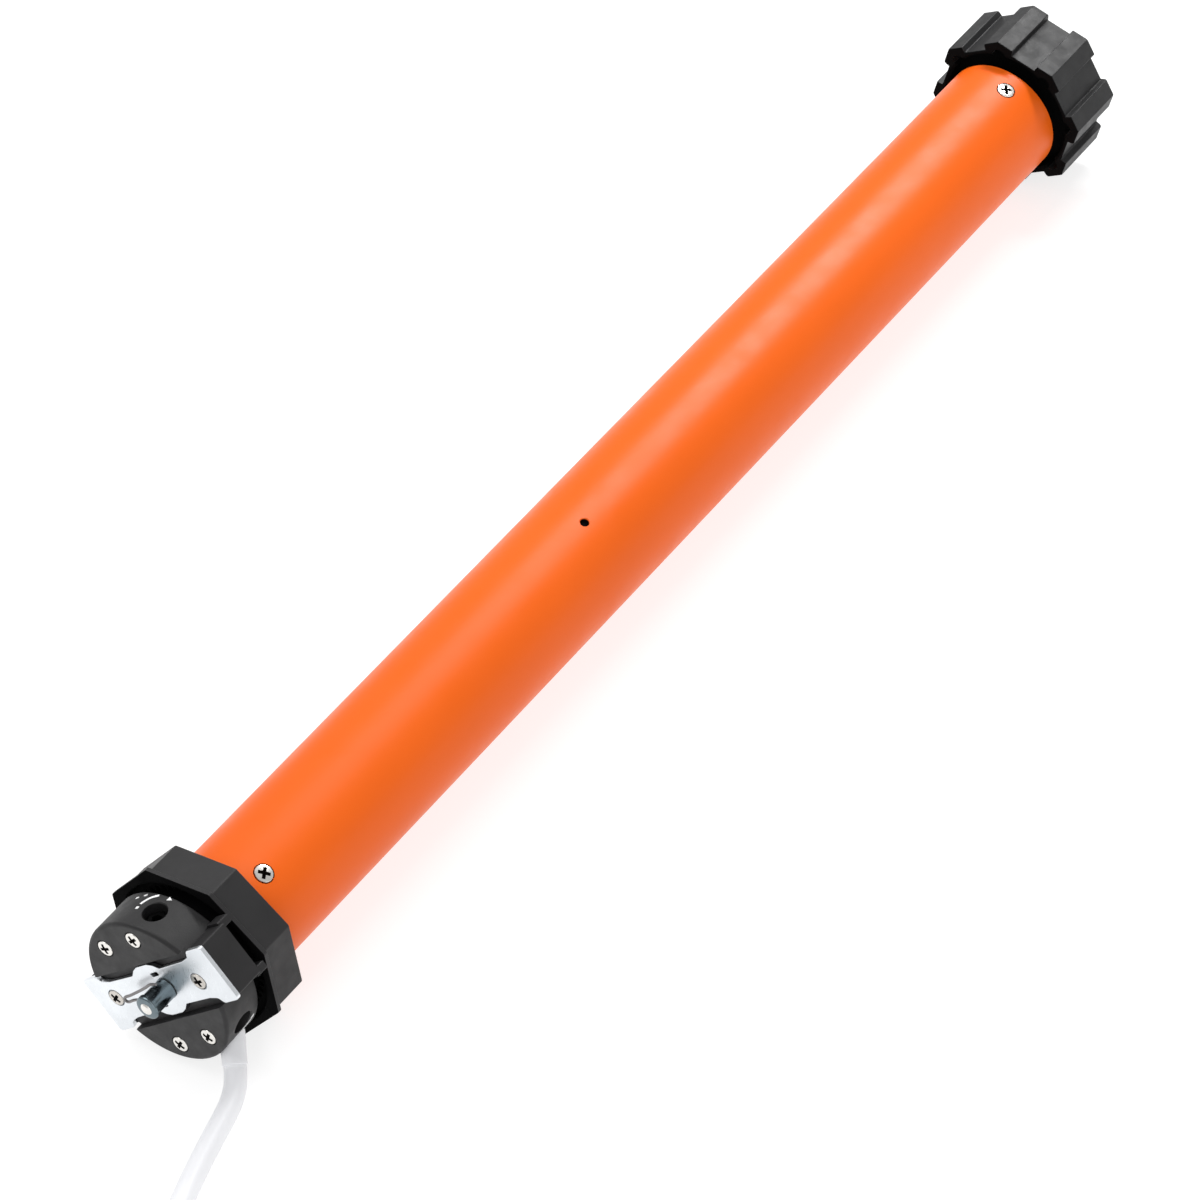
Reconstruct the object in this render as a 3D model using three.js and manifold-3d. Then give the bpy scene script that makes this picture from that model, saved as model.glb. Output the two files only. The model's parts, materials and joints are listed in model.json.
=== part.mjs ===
// Roller shutter motor: a 45 mm tubular drive for a 60 mm octagonal roller tube.
//
// Units are millimetres. The motor is laid out along its own axis, x = 0 at the front face
// of the crown ring, head at negative x and drive wheel at the far end. The last lines lift
// it into the part's frame: +Z up, origin under the middle of the motor, on the surface that
// it lies on. The crown ring lies on a flat and the drive wheel stands on one of its corners.

import * as THREE from 'three';
import { mergeVertices } from 'three/addons/utils/BufferGeometryUtils.js';
import Module from 'manifold-3d';

const wasm = await Module();
wasm.setup();

// ---------------------------------------------------------------- driving dimensions
const GAP = 0.3;                 // clearance between pieces that touch
const WHEEL_R = 31.7;            // corner radius of the drive wheel, 58.6 across its flats
const CROWN_R = 32.0;            // the same for the crown ring, 59.1 across its flats
const TUBE_R = 22.5;
const TUBE_WALL = 1.0;
const TUBE_X = [15.5, 495.5];
const BORE_R = TUBE_R - TUBE_WALL;
const FIT_R = BORE_R - GAP;      // everything that slides into the tube
const MID_X = 250;               // middle of the motor without its cable
const SIDES = 32;                // sides of the large round pieces
const SCREW_SIDES = 10;
const TAU = 2 * Math.PI;
const rad = THREE.MathUtils.degToRad;

// Angles round the motor's axis are measured from +Z towards -Y.
const PLATE_TURN = 55.2;         // long axis of the bracket plate
const ADJUSTER_TURNS = [-1.6, 109.5];      // adjusters, either side of the plate's end
const HEAD_SCREW_TURN = 34.5;    // tube screw at the head end
const DRIVE_SCREW_TURN = 25.1;   // tube screw at the drive end
const MARK_TURN = 23.1;          // locating hole half way along

// Head
const DRUM_R = 27.7;
const FACE_X = -19.7;
const SEAT_X = -16.5;            // floor of the channel that holds the plate
const DRUM_END_X = -3.5;        // a groove is left between the drum and the crown ring
const JOURNAL_R = 21.9;
const HEAD_BORE_R = 19.2;
const SPIGOT_END_X = 38;
const ARM = { u: 33.5, w: 10, x: [SEAT_X, -5] };
const ADJUSTER_X = -11.1;
const ADJUSTER_HOLE_R = 4.2;
const FACE_SCREWS = { u: 8.3, w: 19.8, headR: 2.9 };

// Bracket plate, its pin and the clip through the pin
const PLATE_T = 1.6;
const PLATE = { half: 35, endW: 10.5, neckW: 7.2, bossW: 9.8, endU: 25.5, bossU: 4.5 };
const PLATE_SCREWS = [[-24.4, -1.4], [22.3, 0.7]];
const PIN = { u: 4.4, r: 3.8, headR: 4.3, length: 10.4 };
const CLIP = { wire: 0.5, height: 4.1 };   // height of the pin's cross hole above the plate

// Crown ring and the limit gears
const CROWN_X = [0, 15];
const FLANGE = { r: 33.5, x: [0, 1.7] };   // rim in front of the crown, stops the roller tube
const LIMIT = { module: 1, crownTeeth: 48, pinionTeeth: 14, x: [1, 7] };
const PINION_DISTANCE = (LIMIT.crownTeeth - LIMIT.pinionTeeth) * LIMIT.module / 2;
const SPINDLE_RADIUS = 10;

// Gear train: two equal planetary stages in one toothed sleeve
const GEARS = { module: 0.687, sun: 8, planet: 22, ring: 52 };
const PLANET_DISTANCE = (GEARS.sun + GEARS.planet) * GEARS.module / 2;
const STAGE_X = [392, 421];
const PLANET_WIDTH = 15;
const PLANETS = 3;

// Cable
const CABLE_R = 3.75;
const CABLE_SIDES = 10;
const AXIS_HEIGHT = WHEEL_R;
const FLOOR = -AXIS_HEIGHT + CABLE_R;       // height of the cable's centre where it lies
const GLAND_START = [-12.4, -20.6, -18.3];
const GLAND_DIRECTION = [-0.62, -0.46, -0.632];
const GLAND_R = 4.3;
const CABLE_ROUTE = [
  [-18.5, -25.1, -24.5], [-22.6, -27.6, -26.8], [-27.7, -29.8, -27.8], [-34.1, -31.8, FLOOR],
  [-42.1, -33.9, FLOOR], [-52.1, -36.7, FLOOR], [-62.1, -39.8, FLOOR], [-73.1, -43.5, FLOOR],
  [-84.1, -47.3, FLOOR], [-95.1, -51.0, FLOOR], [-106.1, -53.7, FLOOR], [-117.1, -55.6, FLOOR],
  [-127.1, -56.6, FLOOR],
];
const COIL = { x: -159.1, y: -14.9, innerR: 33.7, outerR: 48.8, height: 34 };

// ---------------------------------------------------------------- materials
const paint = (color, roughness, metalness = 0) =>
  new THREE.MeshStandardMaterial({ color, roughness, metalness });
const ORANGE = paint(0xf2701e, 0.38, 0.1);
const BLACK = paint(0x242528, 0.62);
const GREY = paint(0x4a4c50, 0.55);
const ZINC = paint(0xcfd6da, 0.32, 0.9);
const STEEL = paint(0xa8abae, 0.35, 0.9);
const DARK_STEEL = paint(0x6a6d70, 0.45, 0.85);
const COPPER = paint(0xb5673a, 0.4, 0.8);
const BRONZE = paint(0xb08a4a, 0.4, 0.85);
const WHITE = paint(0xe9eaec, 0.5);
const BLUE = paint(0x3d6ea8, 0.5);
const FRICTION = paint(0x2f2c29, 0.9);

const group = new THREE.Group();
const motor = new THREE.Group();
motor.position.set(-MID_X, 0, AXIS_HEIGHT);
group.add(motor);

// ---------------------------------------------------------------- solids
const bare = (geometry) => {
  const copy = geometry.index ? geometry.toNonIndexed() : geometry.clone();
  copy.deleteAttribute('normal');
  copy.deleteAttribute('uv');
  return mergeVertices(copy, 1e-4);
};

function solid(geometry) {
  const g = bare(geometry);
  const mesh = new wasm.Mesh({
    numProp: 3,
    vertProperties: new Float32Array(g.attributes.position.array),
    triVerts: new Uint32Array(g.index.array),
  });
  return new wasm.Manifold(mesh);
}

function toGeometry(manifold) {
  const mesh = manifold.getMesh();
  const g = new THREE.BufferGeometry();
  g.setAttribute('position', new THREE.BufferAttribute(new Float32Array(mesh.vertProperties), 3));
  g.setIndex(new THREE.BufferAttribute(new Uint32Array(mesh.triVerts), 1));
  return g;
}

function addPiece(name, shape, material, parent = motor) {
  const geometry = shape.isBufferGeometry ? bare(shape) : toGeometry(shape);
  const mesh = new THREE.Mesh(geometry, material);
  mesh.name = name;
  parent.add(mesh);
  return mesh;
}

const AXES_YZX = new THREE.Matrix4().makeBasis(
  new THREE.Vector3(0, 1, 0), new THREE.Vector3(0, 0, 1), new THREE.Vector3(1, 0, 0));

// A closed profile in the (y, z) plane, pulled along x.
function bar(shape, x0, x1, segments = 12) {
  const g = new THREE.ExtrudeGeometry(
    shape, { depth: x1 - x0, bevelEnabled: false, curveSegments: segments });
  return g.applyMatrix4(AXES_YZX).translate(x0, 0, 0);
}

// A profile of [x, radius] pairs turned round the motor's axis, its faces pointing out.
function turned(profile, segments = SIDES) {
  const points = profile.map(([x, r]) => new THREE.Vector2(r, x));
  if (THREE.ShapeUtils.area(points) < 0) points.reverse();
  return new THREE.LatheGeometry(points, segments).rotateX(Math.PI / 2).rotateY(Math.PI / 2);
}

const disc = (x0, x1, r, segments = SIDES) =>
  turned([[x0, 0], [x0, r], [x1, r], [x1, 0]], segments);
const ringOf = (x0, x1, inner, outer, segments = SIDES) =>
  turned([[x0, inner], [x0, outer], [x1, outer], [x1, inner], [x0, inner]], segments);

// Turn a piece made along +Z about the motor's axis.
const turnX = (geometry, degrees) => geometry.rotateX(rad(degrees));

// A radial peg: a profile of [height, radius] pairs about the +Z direction at x.
function peg(profile, x, degrees, segments = 16) {
  const points = profile.map(([h, r]) => new THREE.Vector2(r, h));
  const g = new THREE.LatheGeometry(points, segments).rotateX(Math.PI / 2);
  return turnX(g.translate(x, 0, 0), degrees);
}

const box = (x, y, z) => new THREE.BoxGeometry(x[1] - x[0], y[1] - y[0], z[1] - z[0])
  .translate((x[0] + x[1]) / 2, (y[0] + y[1]) / 2, (z[0] + z[1]) / 2);

// Place of a point that is u along the plate's long axis and w across it.
const plateY = (u, w) => -u * Math.sin(rad(PLATE_TURN)) - w * Math.cos(rad(PLATE_TURN));
const plateZ = (u, w) => u * Math.cos(rad(PLATE_TURN)) - w * Math.sin(rad(PLATE_TURN));

function polygon(points) {
  return new THREE.Shape(points.map(([y, z]) => new THREE.Vector2(y, z)));
}

function octagon(cornerRadius, firstCorner) {
  return polygon(Array.from({ length: 8 }, (_, i) => {
    const t = rad(firstCorner + 45 * i);
    return [cornerRadius * Math.cos(t), cornerRadius * Math.sin(t)];
  }));
}

// Straight-sided gear teeth with ample backlash; one tooth is centred on `phase`.
function toothPoints(teeth, module, phase, internal) {
  const pitch = teeth * module / 2;
  const tip = internal ? pitch - 0.8 * module : pitch + 0.8 * module;
  const root = internal ? pitch + 1.1 * module : pitch - 1.1 * module;
  const step = TAU / teeth;
  const points = [];
  for (let i = 0; i < teeth; i += 1) {
    const corners = [[-0.27, root], [-0.1, tip], [0.1, tip], [0.27, root]];
    for (const [fraction, r] of corners) {
      const t = phase + (i + fraction) * step;
      points.push([r * Math.cos(t), r * Math.sin(t)]);
    }
  }
  return points;
}

const gear = (teeth, module, phase, x) => bar(polygon(toothPoints(teeth, module, phase)), x[0], x[1]);

// Phase of a gear whose centre lies at `direction` from a gear with a tooth at `phase`.
function meshPhase(teeth, direction, otherTeeth, otherPhase) {
  const other = otherTeeth * (direction - otherPhase) / TAU;
  return direction + Math.PI - TAU * (0.5 - other) / teeth;
}

// Countersunk cross-head screw along -z, its head flush with z = 0.
function screwShape(headR, shankR, length) {
  const body = solid(new THREE.LatheGeometry([
    new THREE.Vector2(0, -length), new THREE.Vector2(shankR, -length + shankR),
    new THREE.Vector2(shankR, -headR * 0.75), new THREE.Vector2(headR, -0.25),
    new THREE.Vector2(headR * 0.94, 0), new THREE.Vector2(0, 0.25),
  ], SCREW_SIDES).rotateX(Math.PI / 2));
  const arm = headR * 0.55;
  const slot = headR * 0.13;
  const cross = solid(box([-arm, arm], [-slot, slot], [-headR * 0.5, 1]))
    .add(solid(box([-slot, slot], [-arm, arm], [-headR * 0.5, 1])));
  return toGeometry(body.subtract(cross));
}

// Room for the screw above, a gap wider all round.
const screwRoom = (headR, shankR, length) => new THREE.LatheGeometry([
  new THREE.Vector2(0, -length - 1), new THREE.Vector2(shankR + GAP, -length - 1),
  new THREE.Vector2(shankR + GAP, -headR * 0.75 - GAP), new THREE.Vector2(headR + GAP, -0.35),
  new THREE.Vector2(headR + GAP, 3), new THREE.Vector2(0, 3),
], SCREW_SIDES).rotateX(Math.PI / 2);

// Stand a screw made along -z radially in the tube wall.
const inTube = (geometry, x, degrees) => turnX(geometry.translate(x, 0, TUBE_R + 0.1), degrees);
// Turn a screw made along -z so that its head faces -x.
const inFace = (geometry, x, u, w) =>
  geometry.rotateY(-Math.PI / 2).translate(x, plateY(u, w), plateZ(u, w));

// ---------------------------------------------------------------- screws
const TUBE_SCREW = [3.2, 1.5, 4.1];
const FACE_SCREW = [FACE_SCREWS.headR, 1.3, 6];
const PLATE_SCREW = [2.9, 1.3, 7];
const tubeScrews = [
  ['head_end_tube_screw_1', 25.5, HEAD_SCREW_TURN],
  ['head_end_tube_screw_2', 25.5, HEAD_SCREW_TURN + 180],
  ['drive_end_tube_screw_1', 486.5, DRIVE_SCREW_TURN],
  ['drive_end_tube_screw_2', 486.5, DRIVE_SCREW_TURN + 180],
];
const faceSpots = [[-1, -1], [1, -1], [1, 1], [-1, 1]]
  .map(([a, b]) => [a * FACE_SCREWS.u, b * FACE_SCREWS.w]);
const tubeScrewRooms = tubeScrews.map(
  ([, x, turn]) => solid(inTube(screwRoom(...TUBE_SCREW), x, turn)));

function addScrews() {
  for (const [name, x, turn] of tubeScrews) {
    addPiece(name, inTube(screwShape(...TUBE_SCREW), x, turn), ZINC);
  }
  faceSpots.forEach(([u, w], i) => {
    addPiece(`head_screw_${i + 1}`, inFace(screwShape(...FACE_SCREW), FACE_X - 0.1, u, w), ZINC);
  });
  PLATE_SCREWS.forEach(([u, w], i) => {
    const x = SEAT_X - PLATE_T - GAP - 0.1;
    addPiece(`plate_screw_${i + 1}`, inFace(screwShape(...PLATE_SCREW), x, u, w), ZINC);
  });
}

// ---------------------------------------------------------------- tube
function addTube() {
  let tube = solid(ringOf(TUBE_X[0], TUBE_X[1], BORE_R, TUBE_R, 48));
  for (const room of tubeScrewRooms) tube = tube.subtract(room);
  const hole = peg([[BORE_R - 2, 0], [BORE_R - 2, 1.6], [TUBE_R + 2, 1.6], [TUBE_R + 2, 0]],
    212, MARK_TURN, 8);
  addPiece('motor_tube', tube.subtract(solid(hole)), ORANGE);
}

// ---------------------------------------------------------------- head
const glandAxis = new THREE.Vector3(...GLAND_DIRECTION).normalize();
function alongGland(profile, segments = 16) {
  const points = profile.map(([s, r]) => new THREE.Vector2(r, s));
  const turn = new THREE.Quaternion().setFromUnitVectors(new THREE.Vector3(0, 1, 0), glandAxis);
  return new THREE.LatheGeometry(points, segments)
    .applyQuaternion(turn).translate(...GLAND_START);
}

function plateBox(u, w, x) {
  const points = [[u[0], w[0]], [u[1], w[0]], [u[1], w[1]], [u[0], w[1]]]
    .map(([a, b]) => [plateY(a, b), plateZ(a, b)]);
  return bar(polygon(points.reverse()), x[0], x[1]);
}

const pinionTurn = 180 + PLATE_TURN;        // the limit pinion sits away from the adjusters
const pinionDirection = rad(pinionTurn + 90);
const spindleOffset = Math.acos(
  (PINION_DISTANCE ** 2 + SPINDLE_RADIUS ** 2 - (LIMIT.pinionTeeth * LIMIT.module) ** 2)
  / (2 * PINION_DISTANCE * SPINDLE_RADIUS));
const around = (radius, direction) => [radius * Math.cos(direction), radius * Math.sin(direction)];
const pinionCentre = around(PINION_DISTANCE, pinionDirection);
const spindleCentres = [-1, 1].map(
  (side) => around(SPINDLE_RADIUS, pinionDirection + side * spindleOffset));

function addHead() {
  let head = solid(turned([
    [FACE_X, 0], [FACE_X, DRUM_R - 1.2], [FACE_X + 1.2, DRUM_R], [DRUM_END_X, DRUM_R],
    [DRUM_END_X, JOURNAL_R], [TUBE_X[0] - GAP, JOURNAL_R], [TUBE_X[0] - GAP, FIT_R],
    [SPIGOT_END_X, FIT_R], [SPIGOT_END_X, HEAD_BORE_R], [0.2, HEAD_BORE_R], [0.2, 0],
  ], 40));
  head = head.add(solid(plateBox([-ARM.u, ARM.u], [-ARM.w, ARM.w], ARM.x)));
  head = head.subtract(solid(plateBox([-40, 40], [-10.9, 10.9], [FACE_X - 1, SEAT_X])));
  // Posts at the corners of the arms, with an open slot between them in front of the crown
  for (const [su, sw] of [[-1, -1], [-1, 1], [1, -1], [1, 1]]) {
    const u = su > 0 ? [25.8, 32.2] : [-32.2, -25.8];
    const w = sw > 0 ? [8, ARM.w + 0.9] : [-ARM.w - 0.9, -8];
    head = head.add(solid(plateBox(u, w, [-6, -1.2])));
  }
  for (const adjuster of ADJUSTER_TURNS) {
    const hole = peg([[19.5, 0], [19.5, ADJUSTER_HOLE_R], [30, ADJUSTER_HOLE_R], [30, 0]],
      ADJUSTER_X, adjuster, 12);
    head = head.subtract(solid(hole));
  }
  for (const [u, w] of faceSpots) {
    head = head.subtract(solid(inFace(screwRoom(...FACE_SCREW), FACE_X - 0.1, u, w)));
  }
  for (const [u, w] of PLATE_SCREWS) {
    const x = SEAT_X - PLATE_T - GAP - 0.1;
    head = head.subtract(solid(inFace(screwRoom(...PLATE_SCREW), x, u, w)));
  }
  for (const room of tubeScrewRooms.slice(0, 2)) head = head.subtract(room);
  head = head.subtract(solid(alongGland([[-14, 0], [-14, GLAND_R + GAP], [16, GLAND_R + GAP], [16, 0]], 12)));
  // Window in the journal where the limit pinion reaches the crown's teeth
  const [py, pz] = pinionCentre;
  const window = disc(LIMIT.x[0] - 0.7, LIMIT.x[1] + 0.5, 8.4, 16).translate(0, py, pz);
  head = head.subtract(solid(window));
  addPiece('head_body', head, BLACK);
}

function plateOutline() {
  const { half, endW, neckW, bossW, endU, bossU } = PLATE;
  const quarter = [
    [half, endW - 1.2], [half - 1.2, endW], [endU + 2.5, endW], [endU, neckW + 1],
    [endU - 4, neckW + 0.2], [bossU + 3.5, neckW], [bossU + 1.2, bossW - 0.9], [bossU - 1.5, bossW],
  ];
  const mirror = (su, sw, flip) => {
    const points = quarter.map(([u, w]) => [su * u, sw * w]);
    return flip ? points.reverse() : points;
  };
  return [...mirror(1, 1, false), ...mirror(-1, 1, true), ...mirror(-1, -1, false),
    ...mirror(1, -1, true)];
}

function addPlate() {
  const x = [SEAT_X - GAP - PLATE_T, SEAT_X - GAP];
  const outline = plateOutline().map(([u, w]) => [plateY(u, w), plateZ(u, w)]);
  let plate = solid(bar(polygon(outline.reverse()), x[0], x[1]));
  for (const [u, w] of PLATE_SCREWS) {
    plate = plate.subtract(solid(inFace(screwRoom(...PLATE_SCREW), x[0] - 0.1, u, w)));
  }
  for (const side of [-1, 1]) {
    const w = side > 0 ? [4.9, 6.4] : [-6.4, -4.9];
    plate = plate.subtract(solid(plateBox([-3.6 * side - 2, -3.6 * side + 2], w, [-22, -14])));
  }
  addPiece('mounting_plate', plate, ZINC);
}

// A round pin with a domed end stands on the plate. A hairpin clip locks the bracket on it:
// one leg goes through the pin's cross hole, the other is sprung round its outside.
const PLATE_FACE_X = SEAT_X - GAP - PLATE_T;
const CLIP_X = PLATE_FACE_X - CLIP.height;   // the cross hole is blind
function addPin() {
  const end = PLATE_FACE_X - PIN.length;
  let pin = solid(turned([
    [PLATE_FACE_X - GAP, 0], [PLATE_FACE_X - GAP, PIN.r], [end + 2.2, PIN.r],
    [end + 1.9, PIN.headR], [end + 0.7, PIN.headR], [end, PIN.headR - 0.8],
    [end - 0.2, 2.1], [end - 0.7, 1.2], [end - 0.8, 0],
  ], 24).translate(0, plateY(PIN.u, 0), plateZ(PIN.u, 0)));
  const hole = turned([[-6, 0], [-6, CLIP.wire + GAP], [2.6, CLIP.wire + GAP], [2.6, 0]], 10);
  const alongU = new THREE.Quaternion().setFromUnitVectors(
    new THREE.Vector3(1, 0, 0), new THREE.Vector3(0, plateY(1, 0), plateZ(1, 0)));
  hole.applyQuaternion(alongU).translate(CLIP_X, plateY(PIN.u, 0), plateZ(PIN.u, 0));
  pin = pin.subtract(solid(hole));
  addPiece('bracket_pin', pin, STEEL);
}

function addClip() {
  const path = [
    [6.4, 0], [4.4, 0], [0, 0], [-4, -0.35], [-9, -1.0], [-12.4, -0.9], [-13.5, -1.7],
    [-12.6, -2.8], [-9, -3.0], [-4, -3.5], [-0.6, -3.9], [1.4, -4.2], [4.4, -4.75],
    [6.2, -4.5], [7.6, -4.3],
  ].map(([u, w]) => new THREE.Vector3(CLIP_X, plateY(u, w), plateZ(u, w)));
  const route = new THREE.CatmullRomCurve3(path, false, 'centripetal');
  const section = new THREE.Shape(Array.from({ length: 6 }, (_, i) =>
    new THREE.Vector2(CLIP.wire * Math.cos(i * TAU / 6), CLIP.wire * Math.sin(i * TAU / 6))));
  addPiece('lock_clip', new THREE.ExtrudeGeometry(section, { steps: 38, extrudePath: route }), ZINC);
}

// ---------------------------------------------------------------- crown ring
function addCrown() {
  const outer = new THREE.ExtrudeGeometry(octagon(CROWN_R - 0.5, 22.5), {
    depth: CROWN_X[1] - CROWN_X[0] - 1, bevelEnabled: true, bevelThickness: 0.5, bevelSize: 0.46,
    bevelSegments: 1,
  }).applyMatrix4(AXES_YZX).translate(CROWN_X[0] + 0.5, 0, 0);
  let crown = solid(outer).add(solid(bar(octagon(FLANGE.r, 22.5), ...FLANGE.x)));
  const phase = crownPhase();
  const teeth = polygon(toothPoints(LIMIT.crownTeeth, LIMIT.module, phase, true));
  crown = crown.subtract(solid(bar(teeth, -3, LIMIT.x[1] + 0.6)));
  crown = crown.subtract(solid(disc(3, 18, JOURNAL_R + GAP, 40)));
  crown = crown.subtract(solid(disc(-3, 3, 28.2, 40)));
  addPiece('crown_ring', crown, BLACK);
}

// An internal gear has a gap where the pinion has a tooth.
function crownPhase() {
  const pinion = 0.5;                          // the pinion has a gap facing outwards
  return pinionDirection - TAU * (pinion + 0.5) / LIMIT.crownTeeth;
}
const pinionPhase = pinionDirection - TAU * 0.5 / LIMIT.pinionTeeth;

// ---------------------------------------------------------------- limit switch
function addLimitGears() {
  const [py, pz] = pinionCentre;
  const pinion = solid(gear(LIMIT.pinionTeeth, LIMIT.module, pinionPhase, LIMIT.x))
    .add(solid(disc(LIMIT.x[1] - 1, 14, 1.6, 10)));
  addPiece('limit_pinion', pinion, WHITE).position.set(0, py, pz);
  spindleCentres.forEach(([y, z], i) => {
    const direction = Math.atan2(z - pz, y - py);
    const phase = meshPhase(LIMIT.pinionTeeth, direction, LIMIT.pinionTeeth, pinionPhase);
    const spindle = solid(gear(LIMIT.pinionTeeth, LIMIT.module, phase, LIMIT.x))
      .add(solid(disc(LIMIT.x[1] - 1, 66, 2.2, 10)));
    addPiece(`limit_spindle_${i + 1}`, spindle, STEEL).position.set(0, y, z);
  });
}

const NUT_X = [29, 37];
const SWITCH_X = [54, 61];
function addLimitFrame() {
  const shafts = [pinionCentre, ...spindleCentres];
  let frame = solid(disc(9, 12, 18.8)).add(solid(disc(66.5, 69.5, 18.8)));
  for (const side of [-1, 1]) {
    const [y, z] = around(15.2, pinionDirection + Math.PI + side * rad(28));
    frame = frame.add(solid(disc(10, 68, 2.6, 8).translate(0, y, z)));
  }
  const rail = bar(polygon([[-2.4, -2], [2.4, -2], [2.4, 2], [-2.4, 2]]), 10, 68)
    .rotateX(pinionDirection).translate(0, ...around(15.2, pinionDirection));
  frame = frame.add(solid(rail));
  for (const [y, z] of shafts.slice(1)) {
    frame = frame.subtract(solid(disc(8, 66.2, 2.6, 10).translate(0, y, z)));
  }
  frame = frame.subtract(solid(disc(8, 14.5, 2, 10).translate(0, ...pinionCentre)));
  addPiece('limit_switch_frame', frame, GREY);
}

function addLimitNuts() {
  spindleCentres.forEach(([y, z], i) => {
    const nut = solid(box(NUT_X, [-4.3, 4.3], [-4, 4]))
      .subtract(solid(disc(NUT_X[0] - 1, NUT_X[1] + 1, 2.6, 10)));
    const piece = addPiece(`limit_nut_${i + 1}`, nut, i ? WHITE : BLUE);
    piece.position.set(0, y, z);
    piece.rotation.x = pinionDirection;
  });
}

function addLimitSwitches() {
  spindleCentres.forEach(([y, z], i) => {
    const direction = Math.atan2(z, y);
    const at = (geometry) => geometry.rotateX(direction).translate(0, y, z);
    const room = disc(SWITCH_X[0] - 1, SWITCH_X[1] + 1, 2.6, 10).translate(0, y, z);
    const bodyShape = box(SWITCH_X, [-3.4, 6.6], [-4.2, 4.2]);
    const pocket = solid(at(box([SWITCH_X[0] - 1, SWITCH_X[0] + 2], [3.6, 6], [-1.2, 1.2])));
    const body = solid(at(bodyShape)).subtract(solid(room)).subtract(pocket);
    addPiece(`limit_switch_${i + 1}`, body, BLACK);
    const plunger = at(box([SWITCH_X[0] - 1.4, SWITCH_X[0] + 1.2], [3.9, 5.7], [-0.9, 0.9]));
    addPiece(`switch_plunger_${i + 1}`, plunger, WHITE);
  });
}

function addAdjusters() {
  ADJUSTER_TURNS.forEach((turn, i) => {
    let screw = solid(peg([[20, 0], [20, 3], [21, 3.3], [24.2, 3.3], [24.6, 3], [24.6, 0]],
      ADJUSTER_X, turn, 12));
    const socket = peg([[22, 0], [22, 1.9], [26, 1.9], [26, 0]], ADJUSTER_X, turn, 6);
    screw = screw.subtract(solid(socket));
    addPiece(`limit_adjuster_${i + 1}`, screw, WHITE);
  });
}

// ---------------------------------------------------------------- capacitor
const CAP_X = [92, 158];
function addCapacitor() {
  const can = turned([
    [CAP_X[0], 0], [CAP_X[0], 16.4], [CAP_X[0] + 1, 17.4], [CAP_X[1] - 1, 17.4],
    [CAP_X[1], 16.4], [CAP_X[1], 0],
  ]);
  addPiece('run_capacitor', can, WHITE);
  const x = [CAP_X[0] + 5, CAP_X[1] - 5];
  const holder = solid(ringOf(x[0], x[1], 17.4 + GAP, FIT_R))
    .subtract(solid(box([x[0] - 1, x[1] + 1], [-4.5, 4.5], [-23, -15])));
  addPiece('capacitor_holder', holder, GREY);
}

// ---------------------------------------------------------------- motor
const SHAFT_R = 4;
const STATOR_X = [236, 316];
function shield(x0, x1, pocketSide) {
  let piece = solid(disc(x0, x1, FIT_R)).subtract(solid(disc(x0 - 1, x1 + 1, SHAFT_R + 1, 16)));
  const pocket = pocketSide > 0 ? [x1 - 6.6, x1 + 1] : [x0 - 1, x0 + 6.6];
  return piece.subtract(solid(disc(pocket[0], pocket[1], 9.5 + GAP, 24)));
}

function addMotor() {
  addPiece('front_motor_shield', shield(205, 219, 1), STEEL);
  addPiece('rear_motor_shield', shield(333, 345, -1), STEEL);
  addPiece('front_bearing', ringOf(212.8, 218.8, SHAFT_R + GAP, 9.5, 20), DARK_STEEL);
  addPiece('rear_bearing', ringOf(333.2, 339.2, SHAFT_R + GAP, 9.5, 20), DARK_STEEL);
  let stator = solid(ringOf(STATOR_X[0], STATOR_X[1], 11.8, FIT_R));
  for (let i = 0; i < 12; i += 1) {
    const slot = box([STATOR_X[0] - 1, STATOR_X[1] + 1], [-1.1, 1.1], [10, 17])
      .rotateX(i * TAU / 12);
    stator = stator.subtract(solid(slot));
  }
  addPiece('stator_core', stator, DARK_STEEL);
  [[224, STATOR_X[0] - GAP], [STATOR_X[1] + GAP, 328]].forEach(([a, b], i) => {
    const coil = turned([[a, 14], [a + 1.5, 12.6], [b, 12.6], [b, 19.6], [a + 1.5, 19.6], [a, 18],
      [a, 14]], 24);
    addPiece(`stator_winding_${i + 1}`, coil, COPPER);
  });
  const rotor = turned([
    [208, 0], [208, SHAFT_R], [STATOR_X[0] - 2, SHAFT_R], [STATOR_X[0] - 2, 11.2],
    [STATOR_X[1] + 2, 11.2], [STATOR_X[1] + 2, SHAFT_R], [STAGE_X[0] - 5, SHAFT_R],
    [STAGE_X[0] - 5, 0],
  ], 20);
  const sunX = [STAGE_X[0] - 6, STAGE_X[0] + PLANET_WIDTH];
  const pinion = gear(GEARS.sun, GEARS.module, 0, sunX);
  addPiece('rotor', solid(rotor).add(solid(pinion)), STEEL);
}

// ---------------------------------------------------------------- brake
const BRAKE_DISC_X = [364, 368];
function helixSpring(x0, x1, radius, wire, turns) {
  class Helix extends THREE.Curve {
    getPoint(t, target = new THREE.Vector3()) {
      const a = t * turns * TAU;
      return target.set(x0 + (x1 - x0) * t, radius * Math.cos(a), radius * Math.sin(a));
    }
  }
  const section = new THREE.Shape(Array.from({ length: 6 }, (_, i) =>
    new THREE.Vector2(wire * Math.cos(i * TAU / 6), wire * Math.sin(i * TAU / 6))));
  return new THREE.ExtrudeGeometry(section, { steps: turns * 14, extrudePath: new Helix() });
}

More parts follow.
